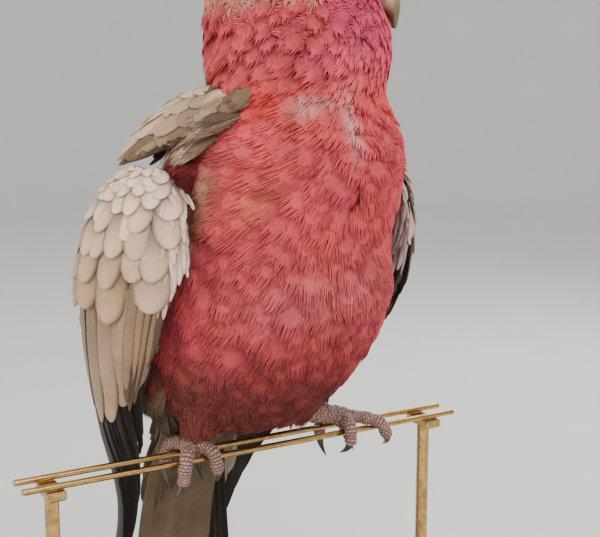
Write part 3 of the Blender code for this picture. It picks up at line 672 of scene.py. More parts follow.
class GalahPlumageSettings(bpy.types.PropertyGroup):
    """Colours of the plumage, shared by skin and feathers."""

    rose: colour_property("Rose", "Neck and underparts", (0.80, 0.106, 0.120))
    cheek: colour_property("Cheek", "Face and throat", (0.78, 0.092, 0.170))
    salmon: colour_property("Salmon", "Sides of the lower neck", (0.90, 0.078, 0.070))
    # Belly: the lower belly's browner rose, darkened partly as painted shade beneath the body's curve.
    belly: colour_property("Belly", "Lower belly", (0.205, 0.048, 0.036))
    pale: colour_property("Cap", "Forehead, crown and crest", (0.84, 0.36, 0.29))
    down: colour_property("Down", "Whitish down between the clumps", (0.96, 0.50, 0.47))
    flax: colour_property("Flax", "Beige down beside the wing", (0.50, 0.28, 0.17))
    olive: colour_property("Olive", "Soiled patch low on the belly", (0.24, 0.13, 0.07))
    ochre: colour_property("Ochre", "Small yellowish patch on the breast", (0.90, 0.22, 0.11))
    grey: colour_property("Mantle grey", "Back and shoulders", (0.40, 0.29, 0.215))
    rump: colour_property("Rump grey", "Rump and tail coverts", (0.56, 0.44, 0.34))
    covert: colour_property("Covert", "Small feathers of the upper wing", (0.97, 0.68, 0.46))
    covert_low: colour_property("Lower covert", "Large coverts of the wing", (0.60, 0.375, 0.215))
    flight: colour_property("Secondary", "Long inner flight feathers", (0.44, 0.285, 0.170))
    inner: colour_property("Inner flight", "Streaked innermost flight feathers", (0.15, 0.085, 0.055))
    slate: colour_property("Primary", "Outer flight feathers and tail", (0.026, 0.018, 0.014))
    # Under tail: pale beige coverts, darkened as painted shade beneath the tail.
    under: colour_property("Under tail", "Long coverts under the tail", (0.195, 0.135, 0.082))
    # Underwing: dark red feathers, deepened as painted shade for the gap beneath each shoulder.
    blood: colour_property("Underwing", "Dark red feathers beneath the shoulder", (0.16, 0.020, 0.018))
    # Umber: brown down at the shoulder's root; it also darkens the lobes' lower edges as painted shade.
    umber: colour_property("Umber", "Brown down at the root of the shoulder feathers", (0.25, 0.155, 0.095))
    white: colour_property("White", "Whitish feathers under the wing's front edge", (0.90, 0.74, 0.68))
    vent: colour_property("Vent", "Beige down of flank and vent", (0.21, 0.140, 0.092))
    # Nape: the cap's lower edge, pinker than the crown and darkened partly as painted shade.
    nape: colour_property("Nape", "Lower edge of the pale cap", (0.70, 0.24, 0.19))
    edge: colour_property("Wing edge", "Narrow pale feathers along the wing's front", (0.88, 0.60, 0.50))


class GalahCoatSettings(bpy.types.PropertyGroup):
    """Sizes of the body's feathers."""

    breast_length: length_property("Breast feather", "Length of a breast feather", 0.0225)
    breast_width: length_property("Breast half width", "Half width of a breast feather", 0.0074)
    breast_pitch: length_property("Breast pitch", "Distance between rows on the breast", 0.0066)
    neck_length: length_property("Neck feather", "Length of a ruffled neck feather", 0.0130)
    neck_width: length_property("Neck half width", "Half width of a neck feather", 0.0045)
    neck_ruffle: length_property("Ruffle", "How far the neck feathers stand out", 0.0016)
    face_length: length_property("Face feather", "Length of a feather on the face", 0.0062)
    back_length: length_property("Back feather", "Length of a feather of the back", 0.0170)
    seed: IntProperty(name="Seed", description="Start of the random draws", default=7, min=0)


class GalahWingSettings(bpy.types.PropertyGroup):
    """Sizes of the wing and tail feathers."""

    covert_width: length_property("Covert half width", "Half width of a large covert", 0.0078)
    covert_run: length_property("Covert run", "How far down the wing the coverts reach", 0.0620)
    secondary_width: length_property("Secondary half width", "Half width of a secondary", 0.0082)
    primary_width: length_property("Primary half width", "Half width of a primary", 0.0058)
    tail_width: length_property("Tail feather half width", "Half width of a tail feather", 0.0068)
    primaries: IntProperty(name="Primaries", description="Primaries in each wing", default=10, min=4)
    tail_feathers: IntProperty(name="Tail feathers", description="Feathers of the tail", default=12, min=6)


class GalahHeadSettings(bpy.types.PropertyGroup):
    """Finish of the bill, eyes and feet."""

    horn: colour_property("Horn", "Pale horn of the bill", (0.66, 0.49, 0.35))
    horn_tip: colour_property("Bill tip", "Olive brown of the hook", (0.17, 0.125, 0.06))
    iris: colour_property("Iris", "Ring of the eye", (0.050, 0.018, 0.010))
    lid: colour_property("Lid", "Bare skin round the eye", (0.40, 0.27, 0.25))
    foot: colour_property("Scale", "Scales of the feet", (0.42, 0.245, 0.195))
    foot_groove: colour_property("Scale groove", "Skin between the scales", (0.085, 0.038, 0.028))
    claw: colour_property("Claw", "Horn of the claws", (0.045, 0.030, 0.024))
    iris_radius: length_property("Iris radius", "Outer radius of the iris", 0.0041)
    pupil_radius: length_property("Pupil radius", "Radius of the pupil", 0.0020)


class GalahStandSettings(bpy.types.PropertyGroup):
    """Finish of the perch and the stand."""

    brass: colour_property("Brass", "Metal of the wires and rods", (0.60, 0.37, 0.13))
    wood: colour_property("Wood", "Light grain of the base", (0.085, 0.047, 0.028))
    wood_dark: colour_property("Dark grain", "Dark grain of the base", (0.026, 0.014, 0.009))


class GalahStageSettings(bpy.types.PropertyGroup):
    """Floor, light and camera."""

    floor: colour_property("Floor", "Pale floor and backdrop", (0.80, 0.80, 0.79))
    key_power: FloatProperty(name="Key light", description="Strength of the key light", default=15.0,
                             min=0.0, unit="POWER")
    fill_power: FloatProperty(name="Fill light", description="Strength of the fill light", default=7.0,
                              min=0.0, unit="POWER")
    sky: FloatProperty(name="Sky", description="Strength of the even light", default=0.85, min=0.0)
    lens: FloatProperty(name="Lens", description="Focal length on a 36 mm sensor, in mm", default=66.0)
    camera_turn: FloatProperty(name="Camera turn", description="Heading of the camera from +Y",
                               default=math.radians(-30.0), subtype="ANGLE")
    camera_pitch: FloatProperty(name="Camera pitch", description="How far the camera looks down",
                                default=math.radians(10.0), subtype="ANGLE")
    camera_place: FloatVectorProperty(name="Camera place", description="Where the camera stands",
                                      default=(-0.2197, -0.4217, 0.3270), subtype="TRANSLATION", size=3)


# ======== markings
# Patches of the front: colour, angle from the bird's front in degrees, height, spreads, strength.

PATCHES = (
    ("salmon", -58.0, 0.3165, 26.0, 0.0085, 0.85), ("salmon", 62.0, 0.3150, 26.0, 0.0085, 0.75),
    ("down", -25.0, 0.3150, 8.0, 0.0036, 0.75), ("down", -10.0, 0.3165, 6.0, 0.0024, 0.45),
    ("down", 2.0, 0.3080, 4.5, 0.0100, 0.80), ("blood", -32.0, 0.3100, 3.2, 0.0060, 0.60),
    ("ochre", -47.0, 0.2800, 8.0, 0.0070, 0.55), ("flax", -78.0, 0.2730, 8.0, 0.0170, 0.85),
    ("olive", -62.0, 0.1955, 11.0, 0.0075, 0.70), ("down", 0.0, 0.2420, 40.0, 0.0120, 0.17),
    # The blood patches beside and behind the wings are dark red deepened as painted shade beneath the
    # shoulders.
    ("flax", 80.0, 0.2700, 8.0, 0.0170, 0.60), ("blood", -92.0, 0.2900, 9.0, 0.0120, 0.95),
    ("blood", -112.0, 0.2850, 16.0, 0.0160, 0.95), ("flax", -76.0, 0.2845, 7.0, 0.0060, 0.60),
    ("umber", -86.0, 0.3110, 13.0, 0.0080, 0.90), ("blood", 106.0, 0.2930, 16.0, 0.0105, 0.80),
)
# Lower edge of the pale cap: height by angle from the bill, left and right alike.
CAP_ANGLES = (0.0, 50.0, 60.0, 67.0, 74.0, 90.0, 107.0, 150.0, 180.0)
CAP_HEIGHTS = (0.3775, 0.3780, 0.3765, 0.3670, 0.3580, 0.3550, 0.3528, 0.3498, 0.3490)


def paint(hue, target, mask):
    """The colours moved towards a target where the mask says."""
    return hue + (np.asarray(target[:], float) - hue) * np.clip(mask, 0.0, 1.0)[..., None]


def evenly(tone, *counts):
    """One colour at every place of an array."""
    return np.broadcast_to(np.asarray(tone[:], float), counts + (3,))


def poled(hue):
    """The colours of a body's rings in turn, then of its two poles."""
    return np.concatenate((hue.reshape(-1, 3), hue[:1, 0], hue[-1:, 0]))


def wobble(points, pitch):
    """A smooth wandering value between about -1 and 1, with bumps of about the pitch: crossed sine waves."""
    x, y, z = (points[..., k] * (2 * np.pi / pitch) for k in range(3))
    return (np.sin(x + 1.3 * np.sin(0.7 * y + 0.4)) * np.cos(0.9 * z + 0.8 * np.sin(0.6 * x))
            + 0.6 * np.sin(1.7 * y + 2.1 * z + 0.5) * np.cos(1.3 * x - 0.7 * z))


def markings(points):
    """Colour of the body's plumage at points on or near it, from height and angle alone."""
    tones = bpy.context.scene.galah_plumage
    ring, front = (np.degrees(angle) for angle in body_angles(points))
    z = points[..., 2]
    stray = wobble(points, 0.022)
    hue = evenly(tones.rose, *points.shape[:-1])
    hue = paint(hue, tones.cheek, 0.30 * (wobble(points, 0.046) + 0.4))
    hue = paint(hue, tones.cheek, smooth(0.322, 0.340, z) * (1 - smooth(62, 84, np.abs(ring))))
    for name, angle, height, spread, tall, strength in PATCHES:
        hue = paint(hue, getattr(tones, name), strength * near(front, angle, spread) * near(z, height, tall))
    # Darker towards the vent: the lower belly's browner colour, partly painted shade beneath the body's
    # curve.
    hue = paint(hue, tones.belly, (1 - smooth(0.180, 0.238, z + 0.004 * stray)) * 0.92)
    back = smooth(98, 113, np.abs(front) + 5 * stray) * (1 - smooth(0.310, 0.321, z + 0.002 * stray))
    hue = paint(hue, tones.grey, back)
    hue = paint(hue, tones.rump, back * (1 - smooth(0.205, 0.240, z)))
    hue = paint(hue, tones.rump, smooth(55, 85, np.abs(front)) * (1 - smooth(0.172, 0.184, z)))
    edge = np.interp(np.abs(ring), CAP_ANGLES, CAP_HEIGHTS)
    # The cap's lower edge in the nape tone: its own pinker colour, partly painted shade.
    hue = paint(hue, tones.nape, smooth(-0.0016, 0.0022, z - edge + 0.0012 * stray))
    return paint(hue, tones.pale, smooth(0.0050, 0.0130, z - edge + 0.0020 * stray))


# ======== materials

class Nodes:
    """A material's node tree, with short calls that add and join its nodes."""

    def __init__(self, name):
        self.mat = bpy.data.materials.new(name)
        self.mat.use_nodes = True
        self.tree = self.mat.node_tree
        self.shader = self.tree.nodes["Principled BSDF"]

    def add(self, kind, values=(), **fields):
        """A node of a kind, with its fields set and its inputs given as (name or index, value or output)."""
        node = self.tree.nodes.new(kind)
        for field, value in fields.items():
            setattr(node, field, value)
        for key, value in values:
            self.put(node, key, value)
        return node

    def put(self, node, key, value):
        """Give an input a value, or join another node's output to it."""
        if isinstance(value, bpy.types.NodeSocket):
            self.tree.links.new(value, node.inputs[key])
        else:
            node.inputs[key].default_value = value

    def ramp(self, factor, *stops):
        """A ramp's colour output, from (place, colour or grey) stops."""
        node = self.add("ShaderNodeValToRGB", [("Fac", factor)])
        for element, (place, value) in zip(node.color_ramp.elements, stops):
            element.position = place
            element.color = (*np.broadcast_to(value, 3), 1.0)
        return node.outputs["Color"]

    def mix(self, kind, factor, one, two):
        """Two colours mixed in a blend mode."""
        return self.add("ShaderNodeMix", [(0, factor), (6, one), (7, two)], data_type="RGBA",
                        blend_type=kind).outputs[2]

    def times(self, one, two):
        """Two colours multiplied."""
        return self.mix("MULTIPLY", 1.0, one, two)

    def noise(self, vector, scale, detail=3.0, rough=0.55, stretch=None):
        """A noise's value on a vector, which may be stretched first."""
        if stretch:
            vector = self.add("ShaderNodeMapping", [("Vector", vector), ("Scale", stretch)]).outputs[0]
        return self.add("ShaderNodeTexNoise", [("Vector", vector), ("Scale", scale), ("Detail", detail),
                                               ("Roughness", rough)]).outputs["Fac"]

    def place(self):
        """The object's own coordinates."""
        return self.add("ShaderNodeTexCoord").outputs["Object"]

    def painted(self):
        """The colour that the piece's own attribute gives."""
        return self.add("ShaderNodeAttribute", attribute_name="plumage").outputs["Color"]

    def finish(self, base, rough, bump=None, strength=0.3, distance=0.0003, **fixed):
        """Join colour, roughness and bump to the shader, and set its fixed values on its own sockets."""
        self.put(self.shader, "Base Color", base)
        self.put(self.shader, "Roughness", rough)
        if bump is not None:
            node = self.add("ShaderNodeBump", [("Height", bump), ("Strength", strength),
                                               ("Distance", distance)])
            self.put(self.shader, "Normal", node.outputs["Normal"])
        for key, value in fixed.items():
            self.shader.inputs[key.replace("_", " ")].default_value = value
        return self.mat


def feather_material(name, barbs, contrast, rough=0.80, sheen=0.04):
    """Plumage: the painted colour, streaked along each vane, mottled over the body, with a barb bump."""
    m = Nodes(name)
    colour = m.painted()
    vane = m.add("ShaderNodeUVMap", uv_map="vane").outputs["UV"]
    streak = m.noise(vane, 1.0, 4.0, 0.6, (barbs, 2.6, 1.0))
    shade = m.ramp(streak, (0.28, 1.0 - contrast), (0.72, 1.0 + contrast * 0.75))
    mottle = m.ramp(m.noise(m.place(), 70.0, 4.0), (0.3, 0.82), (0.7, 1.10))
    return m.finish(m.times(m.times(colour, shade), mottle), rough, streak, 0.55, 0.0004,
                    Sheen_Weight=sheen, Sheen_Roughness=0.45, Specular_IOR_Level=0.12)


def skin_material():
    """Skin under the feathers: the same markings, darker as painted shade in the gaps between the feathers,
    and dusted with down.
    """
    m = Nodes("skin_down")
    colour = m.painted()
    dust = m.noise(m.place(), 900.0, 4.0, 0.65)
    shade = m.ramp(dust, (0.3, (0.52, 0.42, 0.42)), (0.7, (0.80, 0.70, 0.70)))
    return m.finish(m.times(colour, shade), 0.85, dust, 0.5, 0.0004, Specular_IOR_Level=0.2)


def bill_material():
    """Horn: pale at the base, olive brown towards the hook, with growth lines across it."""
    m = Nodes("bill_horn")
    tip = m.painted()
    lines = m.noise(m.place(), 1.0, 4.0, 0.6, (260.0, 260.0, 900.0))
    grime = m.ramp(m.noise(m.place(), 420.0, 5.0), (0.35, (0.78, 0.74, 0.68)), (0.65, 1.0))
    base = m.times(tip, grime)
    rough = m.ramp(lines, (0.3, 0.34), (0.7, 0.56))
    return m.finish(base, rough, lines, 0.4, 0.00025, Specular_IOR_Level=0.45,
                    Subsurface_Weight=0.12, Subsurface_Scale=0.002, Coat_Weight=0.08)


def painted_material(name, rough, scale, bump, **fixed):
    """A surface coloured by its own attribute, with a fine grain in colour, gloss and relief."""
    m = Nodes(name)
    colour = m.painted()
    grain = m.noise(m.place(), scale, 4.0, 0.6)
    tone = m.times(colour, m.ramp(grain, (0.3, 0.80), (0.7, 1.10)))
    sheen = m.ramp(grain, (0.3, rough - 0.08), (0.7, rough + 0.10))
    return m.finish(tone, sheen, grain, bump, 0.0002, **fixed)


def brass_material():
    """Drawn brass wire: fine scratches along it, finger marks, and dull spots."""
    brass = tuple(bpy.context.scene.galah_stand.brass)
    m = Nodes("brass_drawn")
    marks = m.noise(m.place(), 260.0, 5.0, 0.6)
    lines = m.noise(m.place(), 1.0, 3.0, 0.6, (60.0, 1800.0, 1800.0))
    base = m.ramp(marks, (0.34, tuple(0.62 * value for value in brass)), (0.60, brass))
    rough = m.ramp(marks, (0.30, 0.42), (0.65, 0.20))
    return m.finish(base, rough, lines, 0.12, 0.0001, Metallic=1.0)


def wood_material():
    """Dark satin wood: long grain bands in X with fine pores."""
    tones = bpy.context.scene.galah_stand
    m = Nodes("base_wood")
    warp = m.noise(m.place(), 6.0, 3.0)
    vector = m.add("ShaderNodeMapping", [("Vector", m.place()), ("Scale", (1.5, 22.0, 22.0))]).outputs[0]
    bands = m.add("ShaderNodeTexWave", [
        ("Vector", vector), ("Scale", 1.6), ("Distortion", 6.5), ("Detail", 3.0), ("Detail Scale", 1.2)],
        bands_direction="Y").outputs["Fac"]
    pores = m.noise(m.place(), 1.0, 4.0, 0.7, (90.0, 1500.0, 900.0))
    grain = m.mix("MIX", warp, m.ramp(bands, (0.1, tuple(tones.wood_dark)), (0.9, tuple(tones.wood))),
                  tuple(tones.wood) + (1.0,))
    base = m.times(grain, m.ramp(pores, (0.36, 0.55), (0.52, 1.0)))
    rough = m.ramp(pores, (0.3, 0.50), (0.7, 0.30))
    return m.finish(base, rough, pores, 0.10, 0.0002, Coat_Weight=0.25, Coat_Roughness=0.25)


def refinish(node, mat):
    """Give one of the solids a material of its own."""
    node.data.materials.clear()
    node.data.materials.append(mat)


def floor_material():
    """Pale matt paper with the faintest mottle."""
    m = Nodes("stage_paper")
    tone = tuple(bpy.context.scene.galah_stage.floor)
    mottle = m.ramp(m.noise(m.place(), 9.0, 3.0), (0.3, tuple(0.97 * value for value in tone)), (0.7, tone))
    return m.finish(mottle, 0.9)


# ======== skin

def body_skin_rings():
    """Rings of the body's skin, each point inset along the surface's normal by the coat's depth."""
    along = np.linspace(0.006, 0.994, 90)[:, None]
    around = np.linspace(-np.pi, np.pi, 96, endpoint=False)[None, :]
    at = np.stack(np.broadcast_arrays(around, along), axis=-1)
    point, _, normal = frames(body_surface, at, np.broadcast_to((0.0, 1.0), at.shape))
    depth = SKIN_DEPTH + (FACE_DEPTH - SKIN_DEPTH) * smooth(0.345, 0.360, point[..., 2:])
    return point - normal * depth


def plate_rings(front_rows, back_rows, last, inset):
    """Rings of the fleshy part of a wing, between its outer and inner face."""
    outer, inner = wing_surface(front_rows, back_rows), wing_surface(front_rows, back_rows, inner=True)
    along = np.linspace(0.03, last, 30)[:, None]
    across = np.linspace(-0.72, 0.78, 24)[None, :]
    top, low = outer(across, along), inner(across, along)
    out = unit(top - low)
    top, low = top - out * inset, low + out * inset * 0.6
    return np.concatenate((top, low[:, ::-1]), axis=1)


# Each row of coverts: how far down the covered part its tips are, and half width against the setting.
COVERT_ROWS = ((0.06, 0.40), (0.13, 0.46), (0.21, 0.52), (0.31, 0.60), (0.425, 0.70), (0.555, 0.80),
               (0.70, 0.95), (0.93, 1.22))
ARMS = {
    "right": ((-0.0230, -0.0300, 0.3020), (-0.0570, -0.0300, 0.2790)),
    "left": ((0.0230, -0.0300, 0.3020), (0.0490, -0.0280, 0.2800)),
}
ARM_ROOT_RADIUS, ARM_END_RADIUS = 0.0110, 0.0060


def arm_surface(side):
    """A short upper arm that carries a wing, from the body to the wrist."""
    return limb_surface(*ARMS[side], (0.0, 1.0, 0.0), lambda along: ARM_ROOT_RADIUS + (
        ARM_END_RADIUS - ARM_ROOT_RADIUS) * along)


def arm_rings(side):
    """The skin of an upper arm."""
    around = np.linspace(0.0, 2 * np.pi, 20, endpoint=False)[None, :]
    return arm_surface(side)(around, np.linspace(0.0, 1.0, 9)[:, None])


def tail_root_rings():
    """The fleshy root of the tail, inside its coverts."""
    angle = np.linspace(0.0, 2 * np.pi, 36, endpoint=False)[None, :]
    along = np.linspace(0.0, 0.42, 16)[:, None]
    rows = spline(TAIL, along[:, 0])
    side = np.maximum(rows[:, 2:3] - 0.004, 0.002) * np.sin(angle)
    depth = np.maximum(rows[:, 3:] / 2 - 0.0022, 0.0016) * np.cos(angle)
    x = TAIL_ROOT_X + (TAIL_TIP_X - TAIL_ROOT_X) * along + side
    return np.stack((x, rows[:, :1] + depth, np.broadcast_to(rows[:, 1:2], x.shape)), axis=-1)


def thigh_rings(side):
    """A thigh's skin, inset from its feathered outline."""
    surface = thigh_surface(side)
    around = np.linspace(0.0, 2 * np.pi, 32, endpoint=False)[None, :]
    along = np.linspace(-0.25, 0.98, 14)[:, None]
    middle = surface(np.array((0.0, np.pi)), along).mean(axis=1, keepdims=True)
    return middle + (surface(around, along) - middle) * 0.76


class GALAH_OT_skin(bpy.types.Operator):
    """Join body, thighs, arms and tail root into one seamless skin inside the feathers"""

    bl_idname = "galah.skin"
    bl_label = "Skin"

    def execute(self, context):
        rings = [
            body_skin_rings(), tail_root_rings(), thigh_rings("right"), thigh_rings("left"),
            plate_rings(WING_RIGHT_FRONT, WING_RIGHT_BACK, 0.40, 0.0012),
            plate_rings(WING_LEFT_FRONT, WING_LEFT_BACK, 0.40, 0.0012),
            arm_rings("right"), arm_rings("left"),
        ]
        points, faces = joined([closed_body(ring) for ring in rings])
        rough = add_mesh("skin_parts", points, faces, bpy.data.materials.new("unused"))
        remesh = rough.modifiers.new("one_body", "REMESH")
        remesh.mode, remesh.voxel_size = "VOXEL", SKIN_VOXEL
        ease = rough.modifiers.new("ease", "SMOOTH")
        ease.factor, ease.iterations = 0.5, 6
        view = context.evaluated_depsgraph_get()
        view.update()
        mesh = bpy.data.meshes.new_from_object(rough.evaluated_get(view))
        bpy.data.objects.remove(rough, do_unlink=True)
        mesh.name = "skin"
        mesh.materials.clear()
        place = np.empty(len(mesh.vertices) * 3, np.float32)
        mesh.vertices.foreach_get("co", place)
        place = place.reshape(-1, 3).astype(float)
        tones = context.scene.galah_plumage
        wing = smooth(0.043, 0.047, np.abs(place[:, 0]) + 0.25 * np.maximum(place[:, 1] + 0.03, 0))
        hue = paint(markings(place), tones.grey, wing * smooth(0.21, 0.22, place[:, 2]))
        # High under the wings the skin gets the dark red blood tone: painted shade beneath the shoulder.
        hue = paint(hue, tones.blood, wing * smooth(0.255, 0.265, place[:, 2]))
        show("skin", mesh, skin_material(),
             ("trunk", "neck", "head", "thigh_left", "thigh_right"), hue)
        return {"FINISHED"}


# ======== body feathers

def turned_home(around, along):
    """Places on the bake map for seats given by angle and share: an unrolling of the surface."""
    return np.column_stack((0.03 + 0.94 * (around / (2 * np.pi) + 0.5), 0.03 + 0.94 * along))


def across_home(across, along):
    """The same for seats given by a value from -1 to 1 and a share."""
    return np.column_stack((0.05 + 0.90 * (np.clip(across, -1, 1) / 2 + 0.5),
                            0.05 + 0.90 * np.clip(along, 0, 1)))


def breast_swing(front, height):
    """How far the breast feathers turn away from the keel, in radians: most at the crop, least below."""
    most = np.interp(height, (0.17, 0.20, 0.225, 0.25, 0.275, 0.295, 0.310, 0.325, 0.340),
                     (4, 6, 11, 17, 30, 52, 60, 34, 10))
    share = smooth(0, 28, np.abs(front)) * (1 - 0.65 * smooth(62, 120, np.abs(front)))
    return np.radians(most) * share * np.sign(front)


def vary(hue, rng, spread):
    """Colours made a little lighter or darker, each feather on its own."""
    return np.clip(hue * (1 + rng.normal(0.0, spread, len(hue)))[:, None], 0.0, 1.0)


class GALAH_OT_body_coat(bpy.types.Operator):
    """Lay the soft feathers of breast, belly, flanks, back and thighs"""

    bl_idname = "galah.body_coat"
    bl_label = "Body feathers"

    def lay(self, name, high, low, pitch, across_pitch, shapes, keep, length, width, rng, mat,
            slot="plumage_rose", relief=0.0008, **lie):
        """One coat piece between two heights, of the seats that keep accepts."""
        seat = sow(body_surface, along_at(high), along_at(low), pitch, across_pitch, rng)
        point = body_surface(*seat.T)
        front = np.degrees(body_angles(point)[1])
        mine = keep(np.abs(front), point[:, 2])
        seat, point, front = seat[mine], point[mine], front[mine]
        n, z = len(seat), point[:, 2]
        size = rng.uniform(0.74, 1.16, n)
        swing = breast_swing(front, z) + rng.normal(0.0, 0.17, n)
        travel = pace(body_surface, seat, length * size, swing)
        travel[:, 1] = np.minimum(travel[:, 1], np.maximum(0.999 - seat[:, 1], 0.004))
        stand = 0.0003 + relief * (0.3 + 0.7 * wobble(point, 0.034) + rng.uniform(-0.5, 0.8, n))
        stand = stand - 0.0012 * near(front, -27.0, 7.0) * smooth(0.292, 0.300, z)
        batch = drape(body_surface, shapes, seat, travel, width * rng.uniform(0.80, 1.15, n),
                      vary(np.ones((n, 3)), rng, 0.09), turned_home, rng, stand=stand,
                      roll=rng.normal(0.0, 0.10, n), painted=markings, **lie)
        add_coat(name, [batch], mat)

    def flank(self, sign, shapes, rng, tones):
        """Loose down of the flank and the vent, that hangs behind the thigh."""
        n = 110
        spread = rng.uniform(0.0, 1.0, (n, 2))
        seat = np.column_stack((sign * np.radians(84.0 + 66.0 * spread[:, 0]),
                                along_at(0.2120 - 0.0300 * spread[:, 1])))
        travel = pace(body_surface, seat, rng.uniform(0.0180, 0.0260, n), rng.normal(0.0, 0.15, n))
        travel[:, 1] = np.minimum(travel[:, 1], np.maximum(0.985 - seat[:, 1], 0.004))
        # The flank's down starts from the belly tone, which is partly painted shade low on the body.
        hue = paint(evenly(tones.belly, n), tones.vent,
                    smooth(0.25, 0.70, spread[:, 1] + 0.3 * spread[:, 0] + rng.uniform(-0.2, 0.2, n)))
        hue = paint(hue, tones.rump, smooth(0.36, 0.56, spread[:, 0]))
        return drape(body_surface, shapes, seat, travel, 0.0060 * rng.uniform(0.8, 1.2, n),
                     vary(hue, rng, 0.10), turned_home, rng, sink=-0.0010,
                     stand=rng.uniform(0.0020, 0.0080, n), puff=0.0014, roll=rng.normal(0, 0.2, n))

    def execute(self, context):
        sizes, tones = context.scene.galah_coat, context.scene.galah_plumage
        rng = np.random.default_rng(sizes.seed)
        soft = feather_material("feather_soft", 26.0, 0.26)
        firm = feather_material("feather_firm", 14.0, 0.10, 0.66)
        breast = [plume(26, k, clumps) for k, clumps in enumerate((4, 5, 7, 3, 6, 4))]
        for name, high, low, pitch, across_pitch, length, width, puff in (
                ("coat_breast", 0.3235, 0.2640, 0.0058, 0.0072, 0.0205, 0.0068, 0.0008),
                ("coat_front", 0.2640, 0.2120, sizes.breast_pitch, 0.0080, sizes.breast_length,
                 sizes.breast_width, 0.0007),
                ("coat_belly", 0.2120, 0.1680, 0.0060, 0.0072, 0.0200, 0.0064, 0.0006)):
            self.lay(name, high, low, pitch, across_pitch, breast,
                     lambda front, z: front < 112 + 13 * ((z < 0.212) | (z > 0.272)),
                     length, width, rng, soft, puff=puff)
        vanes = [leaf(8, 5, notches=n) for n in ((), ((1, 0.80, 0.3),), ((-1, 0.72, 0.35),))]
        self.lay("coat_back", 0.3190, 0.1700, 0.0058, 0.0074, vanes,
                 lambda front, z: front > 96 + 20 * (z < 0.20), sizes.back_length, 0.0062,
                 rng, firm, slot="plumage_grey", relief=0.0005)
        small = [plume(12, 20 + k, 3, levels=4, columns=3) for k in range(3)]
        batches = []
        for surface in (thigh_surface("right"), thigh_surface("left")):
            seat = sow(surface, 0.05, 0.90, 0.0040, 0.0056, rng)
            n = len(seat)
            travel = pace(surface, seat, 0.0125 * rng.uniform(0.85, 1.1, n), rng.normal(0, 0.1, n))
            hue = vary(markings(surface(*seat.T)), rng, 0.08)
            batches.append(drape(surface, small, seat, travel, 0.0046, hue, turned_home, rng,
                                 sink=-0.0016, stand=0.0010, puff=0.0006, outward=-1.0))
        add_coat("coat_thighs", batches, soft)
        add_coat("coat_flank", [self.flank(sign, breast, rng, tones) for sign in (-1.0, 1.0)], soft)
        batches = []
        for surface in (arm_surface("right"), arm_surface("left")):
            seat = sow(surface, 0.25, 0.96, 0.0034, 0.0042, rng)
            n = len(seat)
            travel = pace(surface, seat, 0.0120 * rng.uniform(0.8, 1.2, n), rng.normal(0, 0.3, n))
            # Dark red feathers of the upper arms, deepened as painted shade beneath the shoulder.
            hue = paint(evenly(tones.blood, n), tones.rose, rng.uniform(0, 0.30, n))
            batches.append(drape(surface, small, seat, travel, 0.0036, vary(hue, rng, 0.15), turned_home, rng,
                                 sink=-0.0012, outward=-1.0, stand=rng.uniform(0, 0.0024, n), puff=0.0006))
        add_coat("coat_arms", batches, soft)
        return {"FINISHED"}


# ======== head and neck feathers

